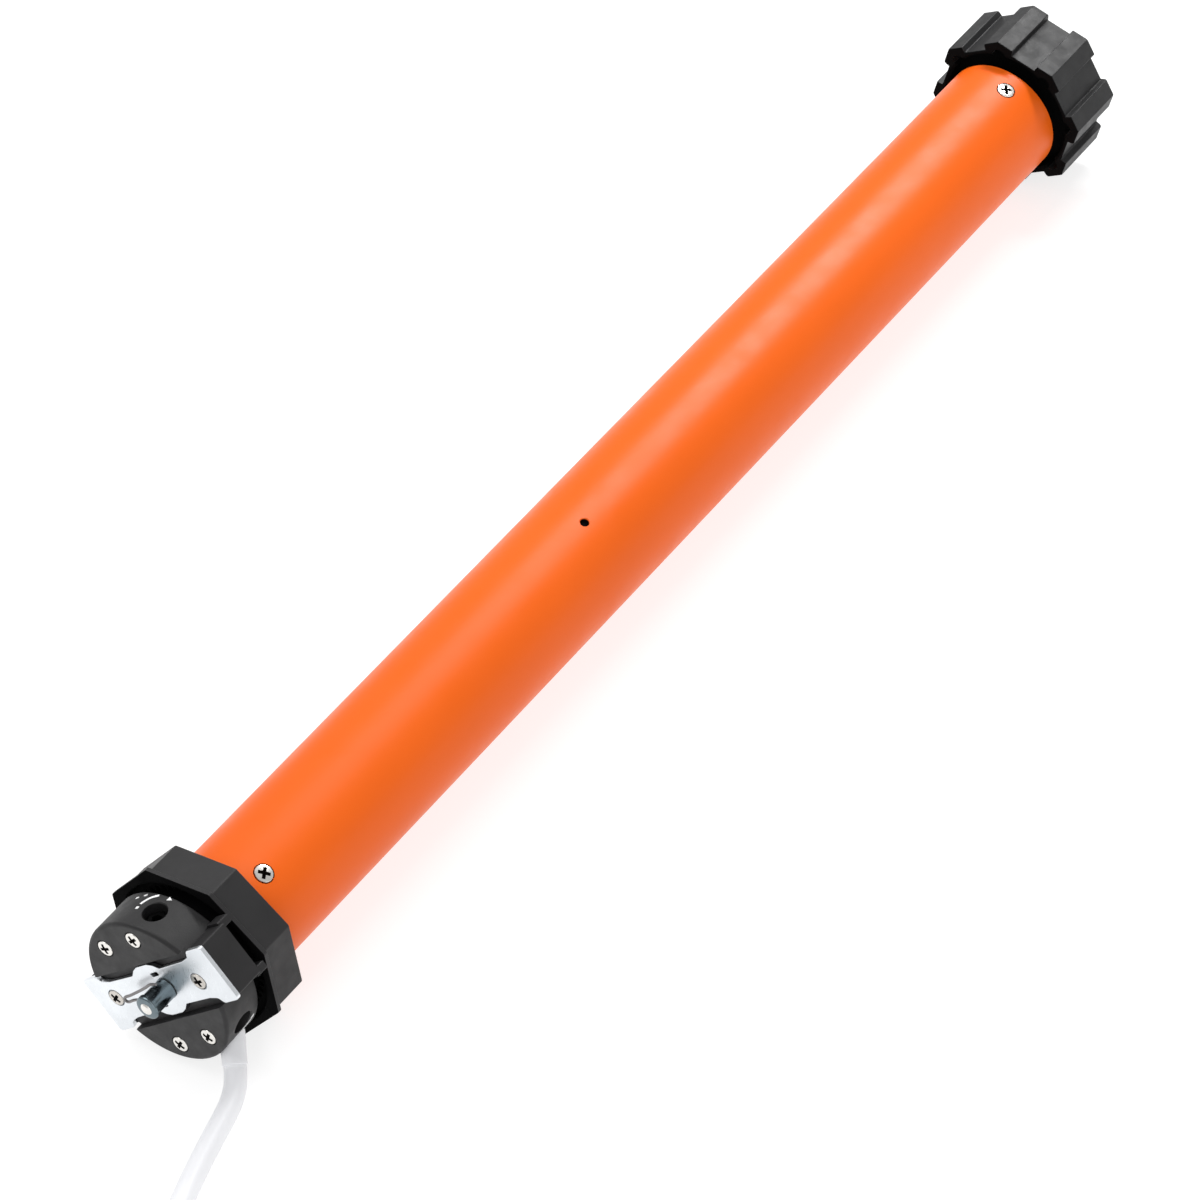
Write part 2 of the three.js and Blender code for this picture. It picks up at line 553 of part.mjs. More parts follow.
function addBrake() {
  const housing = turned([
    [347, SHAFT_R + 1], [347, FIT_R], [378, FIT_R], [378, 19.4], [350, 19.4],
    [350, SHAFT_R + 1], [347, SHAFT_R + 1],
  ]);
  addPiece('brake_housing', housing, STEEL);
  addPiece('brake_spring', helixSpring(351.4, 358.4, 9, 0.6, 2), STEEL);
  addPiece('brake_armature', ringOf(360.2, 363.7, SHAFT_R + 1, 18.6, 24), DARK_STEEL);
  addPiece('brake_disc', ringOf(...BRAKE_DISC_X, SHAFT_R + GAP, 18.4, 24), FRICTION);
  const cover = ringOf(370, 376, SHAFT_R + 1, 19, 24);
  addPiece('brake_pressure_plate', cover, STEEL);
}

// ---------------------------------------------------------------- gearbox
const SLEEVE_X = [382, 454];
const HUB_END = 527.8;
const planetSpot = (i) => around(PLANET_DISTANCE, i * TAU / PLANETS);

function addPlanets(stage) {
  const x = [STAGE_X[stage], STAGE_X[stage] + PLANET_WIDTH];
  for (let i = 0; i < PLANETS; i += 1) {
    const [y, z] = planetSpot(i);
    const phase = meshPhase(GEARS.planet, i * TAU / PLANETS, GEARS.sun, 0);
    const wheel = solid(gear(GEARS.planet, GEARS.module, phase, x))
      .subtract(solid(disc(x[0] - 1, x[1] + 1, 2 + GAP, 8)));
    addPiece(`planet_${stage + 1}_${i + 1}`, wheel, STEEL).position.set(0, y, z);
  }
}

function carrier(stage) {
  const x = STAGE_X[stage] + PLANET_WIDTH + 0.5;
  let piece = solid(disc(x, x + 4, 16, 24));
  for (let i = 0; i < PLANETS; i += 1) {
    const [y, z] = planetSpot(i);
    piece = piece.add(solid(disc(STAGE_X[stage] - 0.5, x + 2, 2, 8).translate(0, y, z)));
  }
  return piece;
}

function addGearbox() {
  const sleeve = new THREE.Shape();
  sleeve.absarc(0, 0, FIT_R, 0, TAU);
  // The ring has a gap opposite each planet's outward tooth or half pitch, as its mesh needs.
  const outward = GEARS.planet * (0 - meshPhase(GEARS.planet, 0, GEARS.sun, 0)) / TAU;
  const ringPhase = -TAU * (outward + 0.5) / GEARS.ring;
  const teeth = toothPoints(GEARS.ring, GEARS.module, ringPhase, true);
  sleeve.holes.push(new THREE.Path(teeth.map(([y, z]) => new THREE.Vector2(y, z))));
  addPiece('gearbox_sleeve', bar(sleeve, SLEEVE_X[0], SLEEVE_X[1], 16), STEEL);
  addPlanets(0);
  addPlanets(1);
  const sunX = [STAGE_X[0] + PLANET_WIDTH + 3, STAGE_X[1] + PLANET_WIDTH];
  const middle = carrier(0).add(solid(gear(GEARS.sun, GEARS.module, 0, sunX)));
  addPiece('planet_carrier', middle, STEEL);
  const shaft = solid(disc(STAGE_X[1] + PLANET_WIDTH + 3, 497.5, 7.5, 20))
    .add(solid(disc(497, HUB_END, 8, 6)))
    .subtract(solid(ringOf(525.2, 525.9, 7, 12, 16)));
  addPiece('output_shaft', carrier(1).add(shaft), STEEL);
}

// ---------------------------------------------------------------- drive end
const PLUG_X = [457, 495.2];
const WHEEL_X = [498, 524.6];
function addPlug() {
  let plug = solid(turned([
    [PLUG_X[0], 9], [PLUG_X[0], FIT_R], [PLUG_X[1], FIT_R], [PLUG_X[1], 10.8],
    [472, 10.8], [472, 9], [PLUG_X[0], 9],
  ]));
  for (const room of tubeScrewRooms.slice(2)) plug = plug.subtract(room);
  addPiece('drive_end_plug', plug, BLACK);
  addPiece('output_bush', ringOf(472.4, 492, 7.5 + GAP, 10.5, 20), BRONZE);
}

function wheelOutline() {
  // Corner ribs of an octagon with a shallow recess in the middle of each flat
  const apothem = WHEEL_R * Math.cos(rad(22.5));
  const ribHalf = 6.6;
  const depth = 2.4;
  const points = [];
  for (let i = 0; i < 8; i += 1) {
    const corner = rad(45 * i);
    const flat = corner + rad(22.5);
    const side = WHEEL_R * Math.sin(rad(22.5));
    const onFlat = (along, inward) => {
      const r = apothem - inward;
      return [r * Math.cos(flat) - along * Math.sin(flat), r * Math.sin(flat) + along * Math.cos(flat)];
    };
    points.push(around(WHEEL_R, corner), onFlat(-side + ribHalf, 0), onFlat(-side + ribHalf + 0.5, depth),
      onFlat(side - ribHalf - 0.5, depth), onFlat(side - ribHalf, 0));
  }
  return polygon(points);
}

function addWheel() {
  let wheel = solid(bar(wheelOutline(), WHEEL_X[0], WHEEL_X[1]));
  const chamfer = turned([[WHEEL_X[0] - 1, 0], [WHEEL_X[0] - 1, 30.1], [WHEEL_X[0] + 1.6, WHEEL_R + 1],
    [WHEEL_X[1] - 1.6, WHEEL_R + 1], [WHEEL_X[1] + 1, 30.1], [WHEEL_X[1] + 1, 0]], 40);
  wheel = wheel.intersect(solid(chamfer));
  wheel = wheel.subtract(solid(disc(WHEEL_X[0] - 1, 506, 25.2)));
  wheel = wheel.subtract(solid(disc(510, WHEEL_X[1] + 1, 26)));
  wheel = wheel.add(solid(disc(WHEEL_X[0] + 0.5, WHEEL_X[1], 12, 24)));
  for (let i = 0; i < 8; i += 1) {
    const web = box([508, WHEEL_X[1] - 1.5], [-1.1, 1.1], [11, 26.6]).rotateX(rad(45 * i + 22.5));
    wheel = wheel.add(solid(web));
    const notch = disc(WHEEL_X[0] - 1, 504, 2.6, 8).translate(0, 0, 25.6).rotateX(rad(45 * i));
    wheel = wheel.subtract(solid(notch));
  }
  wheel = wheel.subtract(solid(disc(WHEEL_X[0] - 1, WHEEL_X[1] + 1, 8 + GAP + 0.05, 6)));
  addPiece('drive_wheel', wheel, BLACK);
  let clip = solid(ringOf(525.25, 525.85, 7.2, 10, 20));
  clip = clip.subtract(solid(box([524, 527], [-2, 2], [-12, 0])));
  addPiece('wheel_retaining_clip', clip, DARK_STEEL);
}

// ---------------------------------------------------------------- cable
function addCable() {
  const gland = alongGland(
    [[-3, 0], [-3, GLAND_R], [1.2, GLAND_R], [8.2, 4.05], [8.2, 0]], 16);
  addPiece('cable_gland', gland, WHITE);
  const start = new THREE.Vector3(...GLAND_START).addScaledVector(glandAxis, 8.2 + GAP);
  const route = new THREE.CatmullRomCurve3(
    [start, ...CABLE_ROUTE.map((p) => new THREE.Vector3(...p))], false, 'centripetal');
  const section = new THREE.Shape(Array.from({ length: CABLE_SIDES }, (_, i) => {
    const t = i * TAU / CABLE_SIDES + TAU / 4;
    return new THREE.Vector2(CABLE_R * Math.cos(t), CABLE_R * Math.sin(t));
  }));
  const lead = new THREE.ExtrudeGeometry(section, { steps: 14, extrudePath: route });
  addPiece('cable_lead', lead, WHITE);
  const { x, y, innerR, outerR, height } = COIL;
  const base = -AXIS_HEIGHT;
  const ring = new THREE.LatheGeometry([
    new THREE.Vector2(innerR, base), new THREE.Vector2(outerR, base),
    new THREE.Vector2(outerR, base + height), new THREE.Vector2(innerR, base + height),
    new THREE.Vector2(innerR, base),
  ], 32).rotateX(Math.PI / 2).translate(x, y, 0);
  addPiece('cable_coil', ring, WHITE);
}

addTube();
addHead();
addPlate();
addPin();
addClip();
addScrews();
addCrown();
addLimitGears();
addLimitFrame();
addLimitNuts();
addLimitSwitches();
addAdjusters();
addCapacitor();
addMotor();
addBrake();
addGearbox();
addPlug();
addWheel();
addCable();

export default group;
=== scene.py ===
import json
import math
import random

import bmesh
import bpy
from mathutils import Matrix, Vector


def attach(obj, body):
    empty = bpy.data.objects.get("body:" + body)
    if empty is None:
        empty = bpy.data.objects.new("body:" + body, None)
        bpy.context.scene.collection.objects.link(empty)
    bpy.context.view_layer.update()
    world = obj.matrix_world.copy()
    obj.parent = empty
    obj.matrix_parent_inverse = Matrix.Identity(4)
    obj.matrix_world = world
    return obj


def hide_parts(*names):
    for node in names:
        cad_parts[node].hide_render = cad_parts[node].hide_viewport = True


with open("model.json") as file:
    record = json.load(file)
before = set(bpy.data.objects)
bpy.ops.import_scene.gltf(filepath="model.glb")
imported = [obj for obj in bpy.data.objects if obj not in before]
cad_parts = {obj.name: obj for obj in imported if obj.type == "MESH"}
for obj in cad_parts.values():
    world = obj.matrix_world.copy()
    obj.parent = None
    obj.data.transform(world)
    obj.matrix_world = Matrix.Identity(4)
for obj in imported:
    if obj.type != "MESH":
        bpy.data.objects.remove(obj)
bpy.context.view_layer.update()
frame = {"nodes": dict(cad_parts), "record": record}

# Lengths in the shape code are millimetres in the motor's own frame: x = 0 at the crown ring's
# front face, the axis at y = z = 0. TO_ROW carries them into the row frame, in metres.
TAU = 2 * math.pi
MM = 0.001
MID_X, AXIS_HEIGHT = 250.0, 31.7
CROWN_R, FLANGE_R, WHEEL_R = 32.0, 33.5, 31.7      # corner radii of the octagons
TO_ROW = Matrix.Scale(MM, 4) @ Matrix.Translation((-MID_X, 0, AXIS_HEIGHT))
GAP = 0.3                                          # between pieces that meet
TUBE_R, TUBE_WALL, TUBE_X = 22.5, 1.0, (15.5, 495.5)
PLATE_TURN = 55.2                                  # degrees, the plate's long axis
DRUM_R, FACE_X, SEAT_X = 27.7, -19.7, -16.5        # the head, its face and the plate's seat
ADJUSTER_X, ADJUSTER_TURNS = -11.1, (-1.6, 109.5)  # degrees


def row(point):
    return TO_ROW @ Vector(point)


# ---------------------------------------------------------------- camera
CAMERA = Vector((-1.0638, -0.9022, 1.1444))
RIGHT = Vector((0.55925, -0.81802, -0.13443))
FORWARD = Vector((0.5809, 0.5056, -0.6379)).normalized()
FOCAL_MM, SENSOR_MM = 155.1, 36
CLIP_NEAR, CLIP_FAR = 0.05, 50


def add_camera():
    data = bpy.data.cameras.new("camera")
    data.lens, data.sensor_width = FOCAL_MM, SENSOR_MM
    data.clip_start, data.clip_end = CLIP_NEAR, CLIP_FAR
    camera = bpy.data.objects.new("camera", data)
    right = (RIGHT - FORWARD * RIGHT.dot(FORWARD)).normalized()
    up = right.cross(FORWARD)
    camera.matrix_world = Matrix.LocRotScale(
        CAMERA, Matrix((right, up, -FORWARD)).transposed().to_quaternion(), None)
    bpy.context.scene.collection.objects.link(camera)
    bpy.context.scene.camera = camera


add_camera()


# ---------------------------------------------------------------- materials
class Nodes:
    """A Principled material whose colour, roughness and relief vary in the row frame."""

    def __init__(self, name):
        self.mat = bpy.data.materials.new(name)
        self.mat.use_nodes = True
        self.tree = self.mat.node_tree
        self.shader = self.tree.nodes["Principled BSDF"]
        self.place = self.tree.nodes.new("ShaderNodeTexCoord").outputs["Object"]
        self.normal = None

    def add(self, kind, **values):
        node = self.tree.nodes.new(kind)
        for key, value in values.items():
            if key in node.inputs:
                node.inputs[key].default_value = value
            else:
                setattr(node, key, value)
        return node

    def link(self, a, b):
        self.tree.links.new(a, b)

    def noise(self, scale, detail=3.0, stretch=None, roughness=0.55):
        place = self.place
        if stretch:
            mapping = self.add("ShaderNodeMapping")
            mapping.inputs["Scale"].default_value = stretch
            self.link(place, mapping.inputs["Vector"])
            place = mapping.outputs["Vector"]
        node = self.add("ShaderNodeTexNoise", Scale=scale, Detail=detail, Roughness=roughness)
        self.link(place, node.inputs["Vector"])
        return node.outputs["Fac"]

    def roughness(self, value, low, high, a, b):
        """Roughness from a to b as the value goes from low to high."""
        node = self.add("ShaderNodeMapRange")
        for key, number in zip(("From Min", "From Max", "To Min", "To Max"), (low, high, a, b)):
            node.inputs[key].default_value = number
        self.link(value, node.inputs["Value"])
        self.link(node.outputs["Result"], self.shader.inputs["Roughness"])

    def colour(self, value, stops):
        """Base colour from the value, through (place, colour) stops."""
        node = self.add("ShaderNodeValToRGB")
        elements = node.color_ramp.elements
        for i, (place, colour) in enumerate(stops):
            element = elements[i] if i < 2 else elements.new(place)
            element.position, element.color = place, (*colour, 1)
        self.link(value, node.inputs["Fac"])
        self.link(node.outputs["Color"], self.shader.inputs["Base Color"])

    def relief(self, value, strength, depth):
        """A bump, its depth in millimetres, on top of the ones before it."""
        node = self.add("ShaderNodeBump", Strength=strength, Distance=depth * MM)
        self.link(value, node.inputs["Height"])
        if self.normal:
            self.link(self.normal, node.inputs["Normal"])
        self.normal = node.outputs["Normal"]
        self.link(self.normal, self.shader.inputs["Normal"])

    def set(self, **values):
        names = {"metallic": "Metallic", "specular": "Specular IOR Level",
                 "roughness": "Roughness", "glow": "Emission Strength"}
        for key, value in values.items():
            self.shader.inputs[names[key]].default_value = value


def shade_of(colour, factor):
    return tuple(min(1.0, c * factor) for c in colour)


def moulded(name, colour, rough, grain=0.35, spread=0.18, specular=0.5):
    """Moulded plastic: fine spark-eroded grain, slight flow marks, uneven gloss."""
    n = Nodes(name)
    n.colour(n.noise(38, 4, (1, 1.7, 1.7)),
             [(0.3, shade_of(colour, 1 - spread)), (0.7, shade_of(colour, 1 + spread))])
    n.roughness(n.noise(210, 4), 0.3, 0.7, rough - 0.07, rough + 0.08)
    n.relief(n.noise(1900, 2, roughness=0.7), grain, 0.08)
    n.relief(n.noise(160, 3), 0.12, 0.25)
    n.set(specular=specular)
    return n.mat


def painted(name):
    """Satin powder coat with a little orange peel and the faintest drift in tone."""
    n = Nodes(name)
    n.colour(n.noise(16, 4, (0.35, 1, 1)),
             [(0.28, (0.77, 0.112, 0.0040)), (0.5, (0.82, 0.122, 0.0050)),
              (0.72, (0.86, 0.132, 0.0065))])
    n.roughness(n.noise(90, 5), 0.3, 0.7, 0.34, 0.43)
    n.set(specular=0.2)
    n.relief(n.noise(420, 3), 0.10, 0.12)
    n.relief(n.noise(2300, 2), 0.08, 0.03)
    return n.mat


def plated(name, colour, rough, streak=(1, 12, 1), scale=120, spread=0.06, relief=0.12):
    """Plated or machined metal: faint streaks, cloudy brightness, small handling marks."""
    n = Nodes(name)
    n.colour(n.noise(150, 5),
             [(0.25, shade_of(colour, 1 - spread)), (0.75, shade_of(colour, 1 + spread))])
    n.roughness(n.noise(scale * 3, 4, streak), 0.25, 0.75, rough - 0.06, rough + 0.1)
    n.set(metallic=1.0)
    n.relief(n.noise(scale * 8, 3, streak), relief, 0.03)
    n.relief(n.noise(90, 2), 0.1, 0.2)
    return n.mat


def sheathing(name, colour, rough):
    """Extruded cable sheath: the cores show through as a faint ripple."""
    n = Nodes(name)
    n.colour(n.noise(30, 3), [(0.3, shade_of(colour, 0.965)), (0.7, shade_of(colour, 1.02))])
    n.roughness(n.noise(300, 4), 0.3, 0.7, rough - 0.05, rough + 0.08)
    n.relief(n.noise(120, 2), 0.10, 0.3)
    n.relief(n.noise(1400, 3), 0.10, 0.04)
    return n.mat


PLAIN, AROUND = (1, 1, 1), (14, 1, 1)    # how a metal's streaks are stretched
# Each material's function and the values for its arguments, in their order
RECIPES = {
    "orange_paint": (painted,),
    "black_plastic": (moulded, (0.0135, 0.013, 0.0137), 0.5, 0.35, 0.18, 0.36),
    "charcoal_plastic": (moulded, (0.0125, 0.0125, 0.013), 0.48, 0.3, 0.18, 0.36),
    # Painted shade: near-black with hardly any gloss, for faces that lie in the dark
    "deep_black": (moulded, (0.0035, 0.0035, 0.0036), 0.85, 0.3, 0.18, 0.03),
    "zinc_plate": (plated, (0.80, 0.83, 0.86), 0.30),
    "pin_steel": (plated, (0.16, 0.20, 0.22), 0.2, (1, 12, 1), 120, 0.06, 0.05),
    "spring_steel": (plated, (0.20, 0.19, 0.19), 0.3, PLAIN, 200, 0.12),
    "brown_screw": (plated, (0.62, 0.585, 0.54), 0.33, PLAIN, 200, 0.12),
    "bright_screw": (plated, (0.82, 0.80, 0.76), 0.24, PLAIN, 200, 0.05),
    # Painted shade for the cross recesses of the screws
    "screw_recess": (moulded, (0.012, 0.010, 0.009), 0.7, 0.35, 0.18, 0.2),
    "white_plastic": (moulded, (0.80, 0.80, 0.78), 0.45, 0.2, 0.03),
    "blue_plastic": (moulded, (0.04, 0.14, 0.40), 0.45, 0.2, 0.08),
    "grey_plastic": (moulded, (0.13, 0.135, 0.14), 0.5, 0.3, 0.08),
    "machined_steel": (plated, (0.56, 0.57, 0.58), 0.33, AROUND, 90),
    "dark_steel": (plated, (0.20, 0.205, 0.21), 0.4, AROUND, 90),
    "copper": (plated, (0.62, 0.24, 0.10), 0.35, (1, 9, 9), 200, 0.15, 0.3),
    "bronze": (plated, (0.50, 0.34, 0.14), 0.42, PLAIN, 200, 0.12),
    "friction_lining": (moulded, (0.05, 0.042, 0.036), 0.85, 0.6, 0.3),
    "white_pvc": (sheathing, (0.84, 0.845, 0.87), 0.42),
    "mark_paint": (moulded, (0.86, 0.86, 0.86), 0.6, 0.2, 0.05),
    "black_tie": (moulded, (0.018, 0.018, 0.018), 0.4, 0.2),
    "core_brown": (sheathing, (0.13, 0.045, 0.02), 0.38),
    "core_blue": (sheathing, (0.03, 0.13, 0.45), 0.38),
    "core_black": (sheathing, (0.015, 0.015, 0.017), 0.38),
    "core_green": (sheathing, (0.16, 0.42, 0.05), 0.38),
}
MATS = {name: make(name, *values) for name, (make, *values) in RECIPES.items()}


# ---------------------------------------------------------------- shape code
WELD, SLIVER = 1e-4, 1e-5
BEVEL_SEGMENTS, BEVEL_ANGLE = 2, math.radians(32)


def lathe(profile, segments=96):
    """(x, radius) pairs turned about the motor's axis."""
    bm = bmesh.new()
    rings = []
    for k in range(segments):
        a = TAU * k / segments
        rings.append([bm.verts.new((x, r * math.cos(a), r * math.sin(a))) for x, r in profile])
    for k in range(segments):
        a, b = rings[k], rings[(k + 1) % segments]
        for i in range(len(profile) - 1):
            bm.faces.new((a[i], a[i + 1], b[i + 1], b[i]))
    return clean(bm)


def clean(bm):
    bmesh.ops.remove_doubles(bm, verts=bm.verts, dist=WELD)
    bmesh.ops.dissolve_degenerate(bm, edges=bm.edges, dist=SLIVER)
    bmesh.ops.recalc_face_normals(bm, faces=bm.faces)
    return bm


def prism(outline, x0, x1):
    """A closed (y, z) outline pulled along x."""
    bm = bmesh.new()
    low = [bm.verts.new((x0, y, z)) for y, z in outline]
    high = [bm.verts.new((x1, y, z)) for y, z in outline]
    bm.faces.new(low)
    bm.faces.new(high)
    for i in range(len(outline)):
        j = (i + 1) % len(outline)
        bm.faces.new((low[i], low[j], high[j], high[i]))
    return clean(bm)


def loft(sections, closed=False):
    """Quads between rings of points, as a loop or with a cap on each end."""
    bm = bmesh.new()
    rings = [[bm.verts.new(p) for p in ring] for ring in sections]
    count = len(rings[0])
    last = len(rings) if closed else len(rings) - 1
    for k in range(last):
        a, b = rings[k], rings[(k + 1) % len(rings)]
        for i in range(count):
            j = (i + 1) % count
            bm.faces.new((a[i], a[j], b[j], b[i]))
    if not closed:
        bm.faces.new(rings[0])
        bm.faces.new(rings[-1])
    return clean(bm)


def moved(bm, matrix):
    bm.transform(matrix)
    return bm


def rounded(points, radius, steps=4):
    """The outline with each corner turned into an arc, or as much of one as its sides allow."""
    nearly_straight, most_of_a_side = math.radians(168), 0.45
    out = []
    count = len(points)
    for i in range(count):
        p, a, b = (Vector(points[k]) for k in (i, (i - 1) % count, (i + 1) % count))
        da, db = (a - p), (b - p)
        angle = da.angle(db)
        if angle > nearly_straight:
            out.append(tuple(p))
            continue
        cut = min(radius / math.tan(angle / 2), da.length * most_of_a_side,
                  db.length * most_of_a_side)
        start, end = p + da.normalized() * cut, p + db.normalized() * cut
        for k in range(steps + 1):
            t = k / steps
            out.append(tuple((1 - t) ** 2 * start + 2 * t * (1 - t) * p + t ** 2 * end))
    return out


def as_object(bm, name="tool"):
    mesh = bpy.data.meshes.new(name)
    bm.to_mesh(mesh)
    obj = bpy.data.objects.new(name, mesh)
    bpy.context.scene.collection.objects.link(obj)
    return obj


def evaluated(obj):
    bpy.context.view_layer.update()
    return bpy.data.meshes.new_from_object(
        obj.evaluated_get(bpy.context.evaluated_depsgraph_get()))


def discard(obj):
    mesh = obj.data
    bpy.data.objects.remove(obj)
    bpy.data.meshes.remove(mesh)


def boolean(bm, tools, operation="DIFFERENCE", dark=False):
    """The shape cut by, joined to or kept inside the tools; if asked, the faces they cut are
    painted dark as shade.
    """
    base = as_object(bm)
    objects = []
    for tool in tools:
        if dark:
            for face in tool.faces:
                face.material_index = 1
        cutter = as_object(tool)
        modifier = base.modifiers.new("cut", "BOOLEAN")
        modifier.object, modifier.operation, modifier.solver = cutter, operation, "EXACT"
        objects.append(cutter)
    if dark:
        for obj in [base, *objects]:
            obj.data.materials.append(MATS["bright_screw"])
            obj.data.materials.append(MATS["screw_recess"])
    mesh = evaluated(base)
    result = bmesh.new()
    result.from_mesh(mesh)
    bpy.data.meshes.remove(mesh)
    for obj in [base, *objects]:
        discard(obj)
    return result


def mark_edges(mesh, degrees):
    bm = bmesh.new()
    bm.from_mesh(mesh)
    limit = math.radians(degrees)
    for face in bm.faces:
        face.smooth = True
    for edge in bm.edges:
        edge.smooth = len(edge.link_faces) == 2 and edge.calc_face_angle(0) < limit
    bm.to_mesh(mesh)
    bm.free()


def round_normals(mesh):
    """On surfaces turned about the motor's axis, shade exactly as the cylinder would."""
    least_radius, same_radius, tilt = 5, 0.01, 0.05
    normals = [Vector(n.vector) for n in mesh.corner_normals]
    for polygon in mesh.polygons:
        spots = [mesh.vertices[v].co for v in polygon.vertices]
        radii = [math.hypot(p.y, p.z) for p in spots]
        if (min(radii) < least_radius or max(radii) - min(radii) > same_radius
                or abs(polygon.normal.x) > tilt):
            continue
        outward = Vector((0, spots[0].y, spots[0].z)).dot(polygon.normal) > 0
        for loop in polygon.loop_indices:
            p = mesh.vertices[mesh.loops[loop].vertex_index].co
            n = Vector((0, p.y, p.z)).normalized()
            normals[loop] = n if outward else -n
    mesh.normals_split_custom_set(normals)


def piece(name, bm, body, material, nodes=(), bevel=0.0, sharp=40, turned=False):
    """Bevels, shades and places a shape, hangs it on what it rides on and hides the nodes it
    stands for.
    """
    obj = as_object(bm, name)
    bm.free()
    if bevel:
        modifier = obj.modifiers.new("bevel", "BEVEL")
        modifier.width, modifier.segments = bevel, BEVEL_SEGMENTS
        modifier.limit_method, modifier.angle_limit = "ANGLE", BEVEL_ANGLE
        modifier.use_clamp_overlap = False
        modifier.miter_outer = "MITER_ARC"
        mesh = evaluated(obj)
        obj.modifiers.clear()
        obj.data = mesh
    mark_edges(obj.data, sharp)
    modifier = obj.modifiers.new("weights", "WEIGHTED_NORMAL")
    modifier.keep_sharp = True
    mesh = evaluated(obj)
    obj.modifiers.clear()
    obj.data = mesh
    if turned:
        round_normals(mesh)
    mesh.transform(TO_ROW)
    # Clearing the materials resets every face to the first one
    indices = [polygon.material_index for polygon in mesh.polygons]
    mesh.materials.clear()
    for m in ([material] if isinstance(material, str) else material):
        mesh.materials.append(MATS[m])
    mesh.polygons.foreach_set("material_index", indices)
    obj.name = mesh.name = name
    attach(obj, body)
    if nodes:
        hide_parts(*nodes)
    return obj


def plate_yz(u, w):
    """Place of a point u along the plate's long axis and w across it."""
    t = math.radians(PLATE_TURN)
    return (-u * math.sin(t) - w * math.cos(t), u * math.cos(t) - w * math.sin(t))


def plate_box(u, w, x, corner=0.0):
    """A box along the plate's axes between pairs of limits, its long edges rounded."""
    points = [plate_yz(a, b) for a, b in
              ((u[0], w[0]), (u[1], w[0]), (u[1], w[1]), (u[0], w[1]))]
    return prism(rounded(points, corner) if corner else points, *x)


X_TO_Z = Matrix.Rotation(-math.pi / 2, 4, "Y")


def radius_of(face):
    """The face's distance from the motor's axis."""
    middle = face.calc_center_median()
    return math.hypot(middle.y, middle.z)


def turn_x(degrees):
    return Matrix.Rotation(math.radians(degrees), 4, "X")


def radial(profile, x, degrees, segments=32):
    """(height, radius) pairs turned about the radial line at x and that turn."""
    return moved(lathe(profile, segments),
                 turn_x(degrees) @ Matrix.Translation((x, 0, 0)) @ X_TO_Z)


def x_towards(direction):
    """The turn that lays the x axis along a direction."""
    return Vector((1, 0, 0)).rotation_difference(direction).to_matrix().to_4x4()


def arc(cx, cr, radius, start, end, steps=5):
    """Profile points on a quarter or other arc, angles in degrees from +x towards +radius."""
    return [(cx + radius * math.cos(math.radians(start + (end - start) * k / steps)),
             cr + radius * math.sin(math.radians(start + (end - start) * k / steps)))
            for k in range(steps + 1)]


# ---------------------------------------------------------------- cable
# Centre lines in the motor's frame. FLOOR is the height of a line that lies on the ground.
CABLE_R = 3.75
FLOOR = -AXIS_HEIGHT + CABLE_R
GLAND_START = Vector((-12.4, -20.6, -18.3))
GLAND_AXIS = Vector((-0.62, -0.46, -0.632)).normalized()
GLAND_END = 8.2
CABLE_ROUTE = [
    (-18.5, -25.1, -24.5), (-22.6, -27.6, -26.8), (-27.7, -29.8, -27.8), (-34.1, -31.8, FLOOR),
    (-42.1, -33.9, FLOOR), (-52.1, -36.7, FLOOR), (-62.1, -39.8, FLOOR), (-73.1, -43.5, FLOOR),
    (-84.1, -47.3, FLOOR), (-95.1, -51.0, FLOOR), (-106.1, -53.7, FLOOR), (-117.1, -55.6, FLOOR),
    (-127.1, -56.6, FLOOR), (-137.8, -57.9, FLOOR), (-149.0, -59.4, FLOOR),
]
COIL_X, COIL_Y = -159.1, -14.9
COIL_OUTER, COIL_INNER, COIL_PITCH = 45.0, 37.45, 7.6
COIL_TURNS_UP, COIL_CROSSING = 3.5, 1 / 6
CABLE_LENGTH = 2.0                                 # metres
STEPS_PER_TURN, STEPS_PER_POINT = 60, 6
SLEEVE_DEPTH = 3.0                                 # of the cable inside its sleeve
CORE_R, COPPER_R, CORE_BEYOND = 1.0, 0.62, 22
CORES = [("core_brown", -1.5, 1.1), ("core_blue", 1.5, 1.1),     # name, across, height
         ("core_black", -1.5, -1.2), ("core_green", 1.5, -1.2)]
TIE_TURNS, TIE_HALF_WIDTH, TIE_HALF_DEPTH = (0.42, 0.95), 2.4, 0.35


def smooth(t):
    return t * t * (3 - 2 * t)


def catmull(points, steps):
    """A smooth line through the points."""
    out = []
    for i in range(len(points) - 1):
        p0, p1, p2, p3 = (points[max(0, min(len(points) - 1, i + k))] for k in (-1, 0, 1, 2))
        for k in range(steps):
            t = k / steps
            out.append(0.5 * ((2 * p1) + (p2 - p0) * t + (2 * p0 - 5 * p1 + 4 * p2 - p3) * t * t
                              + (3 * p1 - p0 - 3 * p2 + p3) * t ** 3))
    out.append(points[-1])
    return out


def coil_point(turns, radius, z):
    """Clockwise seen from above, from the coil's -Y side."""
    a = -math.pi / 2 - TAU * turns
    return Vector((COIL_X + radius * math.cos(a), COIL_Y + radius * math.sin(a), z))


def path_length(points):
    return sum((b - a).length for a, b in zip(points, points[1:])) * MM


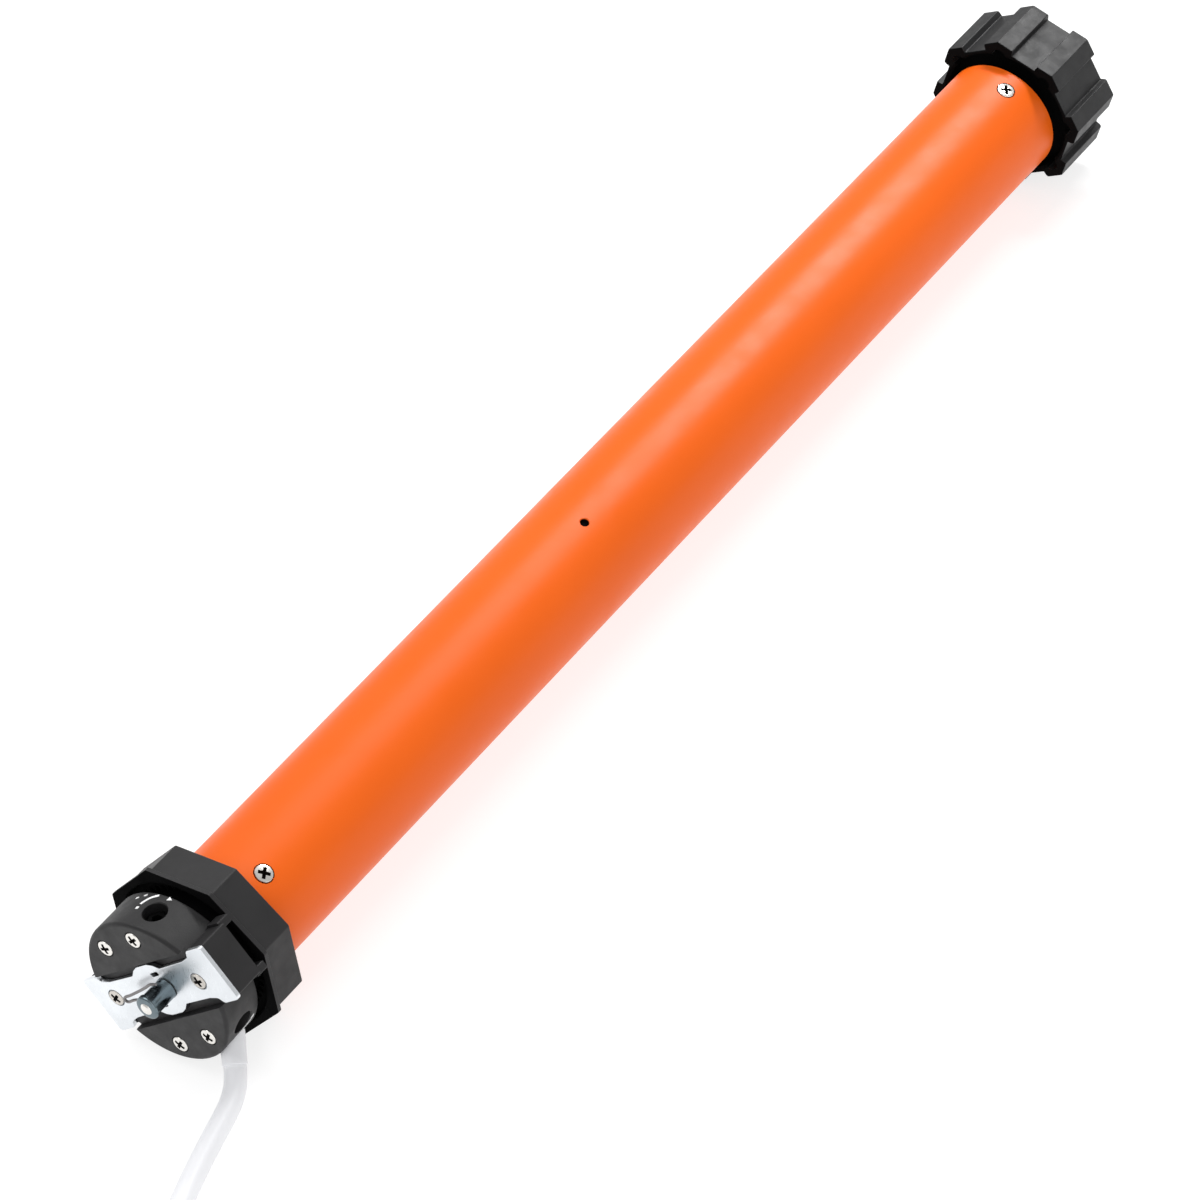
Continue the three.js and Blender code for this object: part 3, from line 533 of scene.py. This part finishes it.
def cable_path():
    """Out of the sleeve, over the ground, up the coil's outer layer and down its inner one."""
    start = GLAND_START + GLAND_AXIS * (GLAND_END - SLEEVE_DEPTH)
    lead = [start, GLAND_START + GLAND_AXIS * (GLAND_END + GAP)] + [Vector(p) for p in CABLE_ROUTE]
    top = FLOOR + COIL_PITCH * COIL_TURNS_UP
    line = catmull(lead + [coil_point(0, COIL_OUTER, FLOOR)], STEPS_PER_POINT)
    up = int(COIL_TURNS_UP * STEPS_PER_TURN)
    for k in range(1, up + 1):
        t = k / STEPS_PER_TURN
        line.append(coil_point(t, COIL_OUTER, FLOOR + COIL_PITCH * t))
    across = round(COIL_CROSSING * STEPS_PER_TURN)
    crossing_lift = 0.5
    for k in range(1, across + 1):
        s = k / across
        line.append(coil_point(COIL_TURNS_UP + s * COIL_CROSSING,
                               COIL_OUTER + (COIL_INNER - COIL_OUTER) * smooth(s),
                               top + crossing_lift * math.sin(math.pi * s)))
    left = CABLE_LENGTH - path_length(line)
    down = left / (TAU * COIL_INNER * MM)
    count = int(down * STEPS_PER_TURN)
    for k in range(1, count + 1):
        t = k / count
        line.append(coil_point(COIL_TURNS_UP + COIL_CROSSING + t * down, COIL_INNER,
                               top + (FLOOR - top) * t))
    return line


def wire(name, points, radius, material, resolution):
    """A round wire along the points, fixed to the housing."""
    curve = bpy.data.curves.new(name, "CURVE")
    curve.dimensions, curve.twist_mode = "3D", "MINIMUM"
    curve.bevel_depth, curve.bevel_resolution, curve.use_fill_caps = radius * MM, resolution, True
    spline = curve.splines.new("POLY")
    spline.points.add(len(points) - 1)
    for spot, p in zip(spline.points, points):
        spot.co = (*row(p), 1)
    spline.use_smooth = True
    curve.materials.append(MATS[material])
    obj = bpy.data.objects.new(name, curve)
    bpy.context.scene.collection.objects.link(obj)
    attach(obj, "housing")
    return obj


def block(centre, axes, size):
    bm = bmesh.new()
    bmesh.ops.create_cube(bm, size=1.0)
    return moved(bm, Matrix.Translation(centre) @ axes @ Matrix.Diagonal((*size, 1)))


def cable_tie(turns):
    """A flat band round both layers of the coil, with its buckle on the outside."""
    a = -math.pi / 2 - TAU * turns
    out, along = Vector((math.cos(a), math.sin(a), 0)), Vector((-math.sin(a), math.cos(a), 0))
    centre = Vector((COIL_X, COIL_Y, 0)) + out * ((COIL_OUTER + COIL_INNER) / 2)
    low, high = -AXIS_HEIGHT + 0.1, FLOOR + COIL_PITCH * COIL_TURNS_UP + CABLE_R + 0.9
    half = (COIL_OUTER - COIL_INNER) / 2 + CABLE_R + 0.5
    outline = rounded([(-half, low), (half, low), (half, high), (-half, high)], 3.6, 6)
    sections = []
    for i, (r, z) in enumerate(outline):
        before, after = Vector(outline[i - 1]), Vector(outline[(i + 1) % len(outline)])
        direction = (after - before).normalized()
        normal = Vector((direction.y, -direction.x))
        ring = []
        for side, depth in ((-1, -1), (1, -1), (1, 1), (-1, 1)):
            p = Vector((r, z)) + normal * (depth * TIE_HALF_DEPTH)
            ring.append(centre + out * p.x + along * (side * TIE_HALF_WIDTH)
                        + Vector((0, 0, p.y)))
        sections.append(ring)
    axes = Matrix((out, along, Vector((0, 0, 1)))).transposed().to_4x4()
    middle = (low + high) / 2
    buckle = block(centre + out * (half + 1.3) + Vector((0, 0, middle)), axes, (3.0, 6.2, 5.4))
    tail = block(centre + out * (half + 3.6) + Vector((0, 0, middle + 0.6)), axes,
                 (4.5, 3.6, 0.9))
    return boolean(loft(sections, closed=True), [buckle, tail], "UNION")


def gland():
    """The tapered sleeve where the cable leaves the head."""
    profile = [(-3, 0), (-3, 4.3), (1.2, 4.3), (1.5, 4.28), (2.2, 4.18), (4.4, 4.12), (7.2, 4.05),
               *arc(7.8, 3.65, 0.4, 80, 0, 4), (GLAND_END, 3.4), (7.0, 3.3), (7.0, 0)]
    return moved(lathe(profile, 48), Matrix.Translation(GLAND_START) @ x_towards(GLAND_AXIS))


def add_cable():
    line = cable_path()
    cable = wire("supply_cable", line, CABLE_R, "white_pvc", 7)
    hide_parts("cable_lead", "cable_coil")
    sleeve = piece("cable_sleeve", gland(), "housing", "white_pvc", ["cable_gland"])
    for i, turns in enumerate(TIE_TURNS):
        piece(f"cable_tie_{i + 1}", cable_tie(turns), "housing", "black_tie",
                            bevel=0.12)
    # Four bare cores leave the end of the sheath, spread out and drop to the ground
    end_turn = math.atan2(line[-1].y - COIL_Y, line[-1].x - COIL_X)
    inside, spread_over, copper_length = 3, 20, 8
    for i, (name, across, height) in enumerate(CORES):
        points, copper = [], []
        reach = CORE_BEYOND + 3 * i
        for k in range(-inside, reach + copper_length):
            a = end_turn - k / COIL_INNER
            spread = smooth(max(0.0, min(1.0, k / spread_over)))
            r = COIL_INNER + across * (1 + 0.25 * spread) - 1.5 * spread
            z = FLOOR + height * (1 - spread) + (1.1 - CABLE_R) * spread + 0.2 * spread
            p = Vector((COIL_X + r * math.cos(a), COIL_Y + r * math.sin(a), z))
            (points if k <= reach else copper).append(p)
        wire(name, points, CORE_R, name, 3)
        wire(name + "_end", [points[-1], *copper], COPPER_R, "bright_screw", 3)


add_cable()


# ---------------------------------------------------------------- screws
SCREW_SIDES = 44
HEAD_DEPTH = 0.75          # of a countersunk head, in head radii


def cross_cutter(r, spin):
    """A tapered cross, four flutes narrowing towards the middle of the shank."""
    def outline(reach, half, z):
        ring = []
        for k in range(4):
            a = math.radians(spin + 90 * k)
            c, s = math.cos(a), math.sin(a)
            for x, y in ((half, -half), (reach, -half), (reach, half)):
                ring.append((x * c - y * s, x * s + y * c, z))
        return ring
    return loft([outline(0.68 * r, 0.20 * r, 0.5), outline(0.62 * r, 0.17 * r, -0.36 * r),
                 outline(0.24 * r, 0.11 * r, -0.80 * r)])


def screw(r, shank, length, spin):
    """Countersunk cross-head screw along -z, its rim at z = 0."""
    profile = [(0.30, 0), (0.27, 0.4 * r), (0.14, 0.8 * r), (0.02, 0.955 * r), (-0.12, 0.99 * r),
               (-0.28, r), (-HEAD_DEPTH * r, shank), (-length + shank, shank), (-length, 0.02),
               (-length, 0)]
    # The cross recess is painted dark, as shade
    return boolean(moved(lathe(profile, SCREW_SIDES), X_TO_Z), [cross_cutter(r, spin)], dark=True)


def screw_room(r, shank, length):
    """The hole and countersink that a screw sits in."""
    sink = r + 0.36
    profile = [(-length - 1, 0), (-length - 1, shank + GAP), (-HEAD_DEPTH * r - GAP, shank + GAP),
               (-0.35, sink), (3, sink), (3, 0)]
    return moved(lathe(profile, SCREW_SIDES), X_TO_Z)


def in_tube(x, degrees):
    return turn_x(degrees) @ Matrix.Translation((x, 0, TUBE_R + PROUD))


def in_face(x, u, w):
    """Driven along +x: the turn that takes x to z takes z to -x."""
    return Matrix.Translation((x - PROUD, *plate_yz(u, w))) @ X_TO_Z


PROUD = 0.1                # of the surface, a screw's rim
# Head radius, shank radius and length
TUBE_SCREW, FACE_SCREW, PLATE_SCREW = (3.2, 1.5, 4.1), (2.9, 1.3, 6), (2.9, 1.3, 7)
PLATE_THICK = 1.6
PLATE_FACE_X = SEAT_X - GAP - PLATE_THICK
HEAD_END_X, HEAD_END_TURN, DRIVE_END_X, DRIVE_END_TURN = 25.5, 34.5, 486.5, 25.1
FACE_U, FACE_W = 8.3, 19.8
SCREWS = [
    ("head_end_tube_screw_1", TUBE_SCREW, in_tube(HEAD_END_X, HEAD_END_TURN)),
    ("head_end_tube_screw_2", TUBE_SCREW, in_tube(HEAD_END_X, HEAD_END_TURN + 180)),
    ("drive_end_tube_screw_1", TUBE_SCREW, in_tube(DRIVE_END_X, DRIVE_END_TURN)),
    ("drive_end_tube_screw_2", TUBE_SCREW, in_tube(DRIVE_END_X, DRIVE_END_TURN + 180)),
    ("head_screw_1", FACE_SCREW, in_face(FACE_X, -FACE_U, -FACE_W)),
    ("head_screw_2", FACE_SCREW, in_face(FACE_X, FACE_U, -FACE_W)),
    ("head_screw_3", FACE_SCREW, in_face(FACE_X, FACE_U, FACE_W)),
    ("head_screw_4", FACE_SCREW, in_face(FACE_X, -FACE_U, FACE_W)),
    ("plate_screw_1", PLATE_SCREW, in_face(PLATE_FACE_X, -24.4, -1.4)),
    ("plate_screw_2", PLATE_SCREW, in_face(PLATE_FACE_X, 22.3, 0.7)),
]


def rooms(prefix):
    """The rooms of the screws whose names start this way."""
    return [moved(screw_room(*size), place) for name, size, place in SCREWS
            if name.startswith(prefix)]


def add_screws():
    draw = random.Random(4)
    for name, size, place in SCREWS:
        spin = draw.uniform(20, 70)
        # The cross recesses take the second material, painted shade
        piece(name + "_detailed", moved(screw(*size, spin), place), "housing",
              ["brown_screw" if name.startswith("plate") else "bright_screw", "screw_recess"],
              [name], sharp=36)


add_screws()


# ---------------------------------------------------------------- tube
def add_tube():
    a, b = TUBE_X
    inner, edge = TUBE_R - TUBE_WALL, 0.3
    hole_x, hole_turn, hole_r, hole_rim = 212, 23.1, 1.6, 2.0
    # Rings either side of the holes keep the long faces near them short
    outside = [(x, TUBE_R)
               for x in (a + edge, 19, 32, 120, 205, 219, 300, 400, 480, 493, b - edge)]
    profile = [(a, inner), (a, TUBE_R - edge), (a + 0.08, TUBE_R - 0.1), *outside,
               (b - 0.08, TUBE_R - 0.1), (b, TUBE_R - edge), (b, inner), (a, inner)]
    hole = radial([(19, 0), (19, hole_r), (TUBE_R - 0.35, hole_r), (TUBE_R + 0.1, hole_rim),
                   (24, hole_rim), (24, 0)], hole_x, hole_turn)
    bm = boolean(lathe(profile, 128), [*rooms("head_end"), *rooms("drive_end"), hole])
    # Painted shade: faces deeper than this under the outer surface (the inside, the ends and the
    # walls of the holes) are painted black
    shaded_below = 0.45
    for face in bm.faces:
        face.material_index = int(radius_of(face) < TUBE_R - shaded_below)
    piece("painted_tube", bm, "housing", ["orange_paint", "deep_black"],
          ["motor_tube"], sharp=30, turned=True)


add_tube()


# ---------------------------------------------------------------- head
def add_head():
    journal, fit, bore = 21.9, 21.2, 19.2      # under the crown, in the tube, inside
    well_r, well_rim = 4.2, 4.8
    groove_x, groove_r = -3.6, 27.3
    profile = [(FACE_X, 0), (FACE_X, 20), *arc(FACE_X + 1.3, DRUM_R - 1.3, 1.3, 180, 90),
               (-12, DRUM_R), (-6, DRUM_R), *arc(-4.0, DRUM_R - 0.5, 0.5, 90, 0, 3),
               (-3.5, journal + 0.4), (-3.1, journal), (15.2, journal), (15.2, fit), (37.4, fit),
               (38, fit - 0.6), (38, bore), (0.2, bore), (0.2, 0)]
    head = lathe(profile, 128)
    arms = plate_box((-33.5, 33.5), (-10, 10), (SEAT_X, -5), 0.8)
    # Posts at the corners of the arms, with an open slot between them in front of the crown
    posts = [plate_box(sorted((su * 25.8, su * 32.2)), sorted((sw * 8, sw * 10.9)),
                       (-6, -1.2), 0.6) for su in (-1, 1) for sw in (-1, 1)]
    head = boolean(head, [arms, *posts], "UNION")
    cuts = [plate_box((-40, 40), (-10.9, 10.9), (FACE_X - 3, SEAT_X))]
    for turn in ADJUSTER_TURNS:
        cuts.append(radial([(19.5, 0), (19.5, well_r), (DRUM_R - 0.4, well_r),
                            (DRUM_R + 0.3, well_rim), (31, well_rim), (31, 0)],
                           ADJUSTER_X, turn, 40))
    cuts += rooms("head_screw") + rooms("plate_screw") + rooms("head_end")
    cuts.append(moved(lathe([(-14, 0), (-14, 4.6), (0.5, 4.6), (16, 4.9), (16, 0)], 40),
                      Matrix.Translation(GLAND_START) @ x_towards(GLAND_AXIS)))
    head = boolean(head, cuts)
    # Painted shade: everything behind the groove and inside its radius (the journal under the
    # crown, the part in the tube and the bore) is painted black
    for face in head.faces:
        behind = face.calc_center_median().x > groove_x
        face.material_index = int(behind and radius_of(face) < groove_r)
    piece("head_moulding", head, "housing", ["black_plastic", "deep_black"],
          ["head_body"], sharp=34, turned=True)


add_head()


def on_drum(x, along, turn, r):
    a = math.radians(turn) + along / DRUM_R
    return (x, -r * math.sin(a), r * math.cos(a))


def mark(shapes, x0, turn):
    """Flat printed shapes, each a convex (x, along) outline, wrapped onto the drum."""
    under, over = DRUM_R - 0.1, DRUM_R + 0.05
    bm = bmesh.new()
    for shape in shapes:
        low = [bm.verts.new(on_drum(x0 + x, s, turn, under)) for x, s in shape]
        high = [bm.verts.new(on_drum(x0 + x, s, turn, over)) for x, s in shape]
        bm.faces.new(low)
        bm.faces.new(high)
        for i in range(len(shape)):
            j = (i + 1) % len(shape)
            bm.faces.new((low[i], low[j], high[j], high[i]))
    bmesh.ops.recalc_face_normals(bm, faces=bm.faces)
    return bm


def box_shape(x0, x1, s0, s1):
    return [(x0, s0), (x1, s0), (x1, s1), (x0, s1)]


def arc_strip(r, width, start, end, steps):
    shapes = []
    for k in range(steps):
        a, b = (math.radians(start + (end - start) * (k + d) / steps) for d in (0, 1))
        shapes.append([((r + s * width) * math.cos(t), (r + s * width) * math.sin(t))
                       for t, s in ((a, -0.5), (b, -0.5), (b, 0.5), (a, 0.5))])
    return shapes


def arrow_head(r, degrees, size, way):
    t = math.radians(degrees)
    out, tangent = Vector((math.cos(t), math.sin(t))), Vector((-math.sin(t), math.cos(t))) * way
    c = out * r
    return [[tuple(c + out * size * 0.7), tuple(c - out * size * 0.7),
             tuple(c + tangent * size * 1.3)]]


def add_marks():
    """Generic signs: a bent arrow at each well, with a dot and a stroke, or with a plus."""
    upper = [*arc_strip(7.6, 0.95, -78, -28, 10), *arrow_head(6.6, 2, 1.25, 1),
             box_shape(-0.75, 0.35, -7.9, -6.8),
             [(3.9, -12.2), (4.8, -12.4), (6.5, -8.4), (5.7, -8.1)]]
    lower = [*arc_strip(5.8, 0.7, 30, 78, 9), *arrow_head(5.8, 28, 1.2, -1),
             box_shape(-0.3, 0.3, 6.3, 8.1), box_shape(-1.0, 1.0, 6.95, 7.45)]
    for name, shapes, turn in (("adjuster_marks_1", upper, ADJUSTER_TURNS[0]),
                               ("adjuster_marks_2", lower, ADJUSTER_TURNS[1])):
        piece(name, mark(shapes, ADJUSTER_X, turn), "housing", "mark_paint")


add_marks()


# ---------------------------------------------------------------- bracket plate
def plate_outline():
    """Wide ends, a narrow neck and a boss in the middle, as (u, w) points."""
    half, end_w, neck_w, boss_w, end_u, boss_u = 35, 10.5, 7.2, 9.8, 25.5, 4.5
    quarter = [(half, end_w), (end_u + 1.6, end_w), (end_u, neck_w + 1), (end_u - 4, neck_w + 0.2),
               (boss_u + 3.5, neck_w), (boss_u + 1.2, boss_w - 0.9), (boss_u - 1.5, boss_w)]

    def corner(su, sw, flip):
        points = [(su * u, sw * w) for u, w in quarter]
        return points[::-1] if flip else points
    return (corner(1, 1, False) + corner(-1, 1, True) + corner(-1, -1, False)
            + corner(1, -1, True))


def add_plate():
    x0, x1 = PLATE_FACE_X, SEAT_X - GAP
    outline = rounded([plate_yz(u, w) for u, w in plate_outline()], 1.5, 5)
    plate = prism(outline, x0, x1)
    cuts = rooms("plate_screw")
    slot_u, half_slot, slot_w = 3.6, 2, (4.9, 6.4)
    for side in (-1, 1):
        w = sorted(side * edge for edge in slot_w)
        cuts.append(plate_box((-slot_u * side - half_slot, -slot_u * side + half_slot), w,
                              (-23, -14), 0.7))
    plate = boolean(plate, cuts)
    piece("bracket_plate", plate, "housing", "zinc_plate", ["mounting_plate"],
          bevel=0.18, sharp=45)


add_plate()


# ---------------------------------------------------------------- pin and clip
PIN_U, PIN_R, PIN_HEAD_R, PIN_LENGTH = 4.4, 3.8, 4.3, 10.4
CLIP_WIRE, CLIP_SIDES, CLIP_X = 0.5, 12, PLATE_FACE_X - 4.1


def add_pin():
    """A round pin with a domed end, and the cross hole that the clip goes through."""
    foot, end, edge = PLATE_FACE_X - GAP, PLATE_FACE_X - PIN_LENGTH, 0.75
    hole_r = 0.8
    angles = [math.radians(a) for a in (0, 20, 40, 60, 80)]
    profile = [(foot, 0), (foot, PIN_R + 0.12), (foot - 0.25, PIN_R), (end + 2.3, PIN_R),
               (end + 2.0, PIN_HEAD_R - 0.1), (end + 1.9, PIN_HEAD_R),
               *[(end + edge * (1 - math.sin(a)), PIN_HEAD_R - edge + edge * math.cos(a))
                 for a in angles],
               (end - 0.1, 3.0), (end - 0.14, 2.15), (end - 0.2, 2.1), (end - 0.45, 1.85),
               (end - 0.66, 1.3), (end - 0.78, 0.6), (end - 0.8, 0)]
    pin = moved(lathe(profile, 64), Matrix.Translation((0, *plate_yz(PIN_U, 0))))
    hole = lathe([(-6, 0), (-6, 1.2), (-PIN_R, 1.1), (-PIN_R + 0.5, hole_r), (2.6, hole_r),
                  (2.6, 0)], 20)
    moved(hole, Matrix.Translation((CLIP_X, *plate_yz(PIN_U, 0)))
          @ x_towards(Vector((0, *plate_yz(1, 0)))))
    pin = boolean(pin, [hole])
    # Painted highlight: the middle of the end gets the bright screw metal for the reflection
    # there, the rest is dark passivated
    for face in pin.faces:
        face.material_index = int(face.calc_center_median().x < end - 0.16)
    piece("bracket_pin_turned", pin, "housing", ["pin_steel", "bright_screw"],
          ["bracket_pin"], sharp=32)


def add_clip():
    """Hairpin clip: one leg through the pin, the other sprung round its outside."""
    path = [(6.4, 0), (4.4, 0), (0, 0), (-4, -0.35), (-9, -1.0), (-12.4, -0.9), (-13.5, -1.7),
            (-12.6, -2.8), (-9, -3.0), (-4, -3.5), (-0.6, -3.9), (1.4, -4.2), (4.4, -4.75),
            (6.2, -4.5), (7.6, -4.3)]
    line = catmull([Vector((u, w, 0)) for u, w in path], STEPS_PER_POINT)
    sections = []
    for i, p in enumerate(line):
        d = (line[min(len(line) - 1, i + 1)] - line[max(0, i - 1)]).normalized()
        side = Vector((-d.y, d.x, 0))
        ring = []
        for k in range(CLIP_SIDES):
            a = TAU * k / CLIP_SIDES
            q = p + side * (CLIP_WIRE * math.cos(a))
            ring.append((CLIP_X + CLIP_WIRE * math.sin(a), *plate_yz(q.x, q.y)))
        sections.append(ring)
    piece("lock_clip_wire", loft(sections), "lock_clip", "spring_steel",
          ["lock_clip"], sharp=60)


add_pin()
add_clip()


# ---------------------------------------------------------------- crown ring and wheel
def octagon(radius, first):
    return [(radius * math.cos(math.radians(first + 45 * i)),
             radius * math.sin(math.radians(first + 45 * i))) for i in range(8)]


def tooth_outline(teeth, module, phase):
    """An internal gear's outline, straight-sided teeth with ample backlash."""
    pitch = teeth * module / 2
    tip, root, step = pitch - 0.8 * module, pitch + 1.1 * module, TAU / teeth
    tooth = ((-0.27, root), (-0.1, tip), (0.1, tip), (0.27, root))
    return [(r * math.cos(phase + (i + f) * step), r * math.sin(phase + (i + f) * step))
            for i in range(teeth) for f, r in tooth]


def bevelled_prism(outline, x0, x1, inset):
    """A prism whose end edges are rounded by pulling its outline in towards the axis."""
    steps = 3
    sections = []
    ends = [(x0 + inset * (1 - math.sin(math.pi / 2 * k / steps)),
             inset * (1 - math.cos(math.pi / 2 * k / steps))) for k in range(steps, -1, -1)]
    stations = ends + [(x0 + x1 - x, d) for x, d in reversed(ends)]
    for x, d in stations:
        ring = []
        for y, z in outline:
            r = math.hypot(y, z)
            ring.append((x, y * (1 - d / r), z * (1 - d / r)))
        sections.append(ring)
    return loft(sections)


def add_crown():
    on_a_flat, corner = 22.5, 1.2
    bore_r, mouth_r, teeth, teeth_end_x = 22.2, 28.2, 48, 7.6
    crown = bevelled_prism(rounded(octagon(CROWN_R, on_a_flat), corner, 4), 0.4, 15, 0.6)
    flange = bevelled_prism(rounded(octagon(FLANGE_R, on_a_flat), corner, 4), 0, 1.7, 0.25)
    crown = boolean(crown, [flange], "UNION")
    bore = lathe([(3, 0), (3, bore_r), (14.4, bore_r), (15.4, bore_r + 1), (18, bore_r + 1),
                  (18, 0)], 96)
    mouth = lathe([(-3, 0), (-3, 28.8), (-0.2, 28.8), (0.5, mouth_r), (3, mouth_r), (3, 0)], 96)
    pinion_direction = math.radians(180 + PLATE_TURN + 90)
    rack = prism(tooth_outline(teeth, 1.0, pinion_direction - TAU / teeth), -3, teeth_end_x)
    crown = boolean(crown, [bore, mouth, rack])
    # The mouth, the bore and the faces towards the head are in the dark
    for face in crown.faces:
        inside = radius_of(face) < 28.9 and face.calc_center_median().x < 14.5
        face.material_index = int(inside or face.normal.x < -0.6)
    piece("crown_ring_moulding", crown, "crown", ["black_plastic", "deep_black"],
          ["crown_ring"], sharp=28)


add_crown()

WHEEL_X = (498.0, 524.6)


def wheel_outline():
    """Corner ribs of an octagon with a shallow recess in the middle of each flat."""
    apothem, side = WHEEL_R * math.cos(math.pi / 8), WHEEL_R * math.sin(math.pi / 8)
    rib, depth = 6.6, 2.4
    points = []
    for i in range(8):
        corner = math.radians(45 * i)
        flat = corner + math.pi / 8
        points.append((WHEEL_R * math.cos(corner), WHEEL_R * math.sin(corner)))
        for along, inward in ((-side + rib, 0), (-side + rib + 0.5, depth),
                              (side - rib - 0.5, depth), (side - rib, 0)):
            r = apothem - inward
            points.append((r * math.cos(flat) - along * math.sin(flat),
                           r * math.sin(flat) + along * math.cos(flat)))
    return points


def add_wheel():
    a, b = WHEEL_X
    web_x = (506, 509.4)                       # the disc between hub and rim
    rim_r, hub_r, hexagon_r = 25.2, 12, 8.35
    notch_r, notch_at = 2.6, 25.6
    wheel = bevelled_prism(rounded(wheel_outline(), 0.5, 3), a, b, 0.7)
    chamfer = lathe([(a - 1, 0), (a - 1, 30.1), (a + 1.6, WHEEL_R + 1), (b - 1.6, WHEEL_R + 1),
                     (b + 1, 30.1), (b + 1, 0)], 128)
    wheel = boolean(wheel, [chamfer], "INTERSECT")
    front = lathe([(a - 1, 0), (a - 1, 26.4), (a - 0.2, 26.4), (a + 1, rim_r), (505.4, rim_r),
                   (web_x[0], 24.6), (web_x[0], 0)], 96)
    back = lathe([(web_x[1], 0), (web_x[1], rim_r), (510.2, 26), (b - 1, 26), (b + 0.2, 27.2),
                  (b + 1, 27.2), (b + 1, 0)], 96)
    wheel = boolean(wheel, [front, back])
    hub = lathe([(a + 0.5, 0), (a + 0.5, 11.3), (a + 1.2, hub_r), (b - 0.7, hub_r), (b, 11.3),
                 (b, 0)], 64)
    webs, cuts = [], []
    for i in range(8):
        web = bevelled_prism(rounded([(-1.1, 11), (1.1, 11), (1.1, 26.6), (-1.1, 26.6)], 0.3, 2),
                             508, b - 1.5, 0.3)
        webs.append(moved(web, turn_x(45 * i + 22.5)))
        notch = lathe([(a - 1, 0), (a - 1, 3.0), (a + 0.4, notch_r), (504, notch_r), (504, 0)], 28)
        cuts.append(moved(notch, turn_x(45 * i) @ Matrix.Translation((0, 0, notch_at))))
    wheel = boolean(wheel, [hub, *webs], "UNION")
    hexagon = [(hexagon_r * math.cos(TAU * k / 6), hexagon_r * math.sin(TAU * k / 6))
               for k in range(6)]
    cuts.append(prism(hexagon, a - 1, b + 1))
    wheel = boolean(wheel, cuts)
    # Painted shade: the end that faces the tube and the recess behind it lie in the dark and are
    # painted a deeper black
    for face in wheel.faces:
        inside = radius_of(face) < 26.5 and face.calc_center_median().x < 508
        face.material_index = int(face.normal.x < -0.5 or inside)
    piece("drive_wheel_moulding", wheel, "output", ["charcoal_plastic", "deep_black"],
          ["drive_wheel"], sharp=28)


add_wheel()


# ---------------------------------------------------------------- carried-over nodes
def dress_nodes():
    """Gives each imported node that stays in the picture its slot's material."""
    slots = {s["node"]: s["material_slot"] for s in frame["record"]["subparts"]}
    for name, obj in frame["nodes"].items():
        # What shows at the bottom of the tube's hole and the adjuster wells is in the dark
        in_hole = name == "front_motor_shield" or name.startswith("limit_adjuster")
        obj.data.materials.clear()
        obj.data.materials.append(MATS["deep_black" if in_hole else slots[name]])


dress_nodes()


# ---------------------------------------------------------------- studio
FLOOR_HALF, FLOOR_TILES, FLOOR_DROP = 6.0, 12, 0.0002      # metres
FLOOR_GLOW, WORLD_STRENGTH = 0.78, 0.55
LIGHTS = [    # name, place, aim, size in metres, watts
    ("strip", (1.17, 0.05, 1.25), (0.15, 0.0, 0.03), (0.9, 0.2), 20),
    ("key", (-0.2, 1.1, 1.9), (0.0, 0.0, 0.0), (2.0, 1.4), 20),
    ("fill", (-1.6, -1.2, 0.9), (0.0, 0.0, 0.0), (1.8, 1.8), 9),
]


def add_floor():
    bm = bmesh.new()
    count, tile = FLOOR_TILES, 2 * FLOOR_HALF
    grid = [[bm.verts.new((-FLOOR_HALF + tile * i / count, -FLOOR_HALF + tile * j / count,
                           -FLOOR_DROP)) for j in range(count + 1)] for i in range(count + 1)]
    for i in range(count):
        for j in range(count):
            bm.faces.new((grid[i][j], grid[i + 1][j], grid[i + 1][j + 1], grid[i][j + 1]))
    floor = as_object(bm, "floor")
    n = Nodes("floor_paper")
    n.colour(n.noise(2.0, 2), [(0.3, (0.31, 0.31, 0.31)), (0.7, (0.33, 0.33, 0.33))])
    n.set(roughness=0.9, specular=0.1, glow=FLOOR_GLOW)
    n.shader.inputs["Emission Color"].default_value = (1, 1, 1, 1)
    floor.data.materials.append(n.mat)


def add_light(name, where, aim, size, power):
    data = bpy.data.lights.new(name, "AREA")
    data.shape, data.size, data.size_y = "RECTANGLE", size[0], size[1]
    data.energy = power
    light = bpy.data.objects.new(name, data)
    light.location = where
    light.rotation_mode = "QUATERNION"
    light.rotation_quaternion = (Vector(aim) - Vector(where)).to_track_quat("-Z", "Y")
    bpy.context.scene.collection.objects.link(light)


def add_studio():
    scene = bpy.context.scene
    scene.view_settings.view_transform = "Standard"
    scene.view_settings.look = "None"
    scene.view_settings.exposure = 0.0
    add_floor()
    world = bpy.data.worlds.new("studio")
    world.use_nodes = True
    background = world.node_tree.nodes["Background"]
    background.inputs["Color"].default_value = (1.0, 1.0, 1.0, 1)
    background.inputs["Strength"].default_value = WORLD_STRENGTH
    scene.world = world
    for light in LIGHTS:
        add_light(*light)


add_studio()
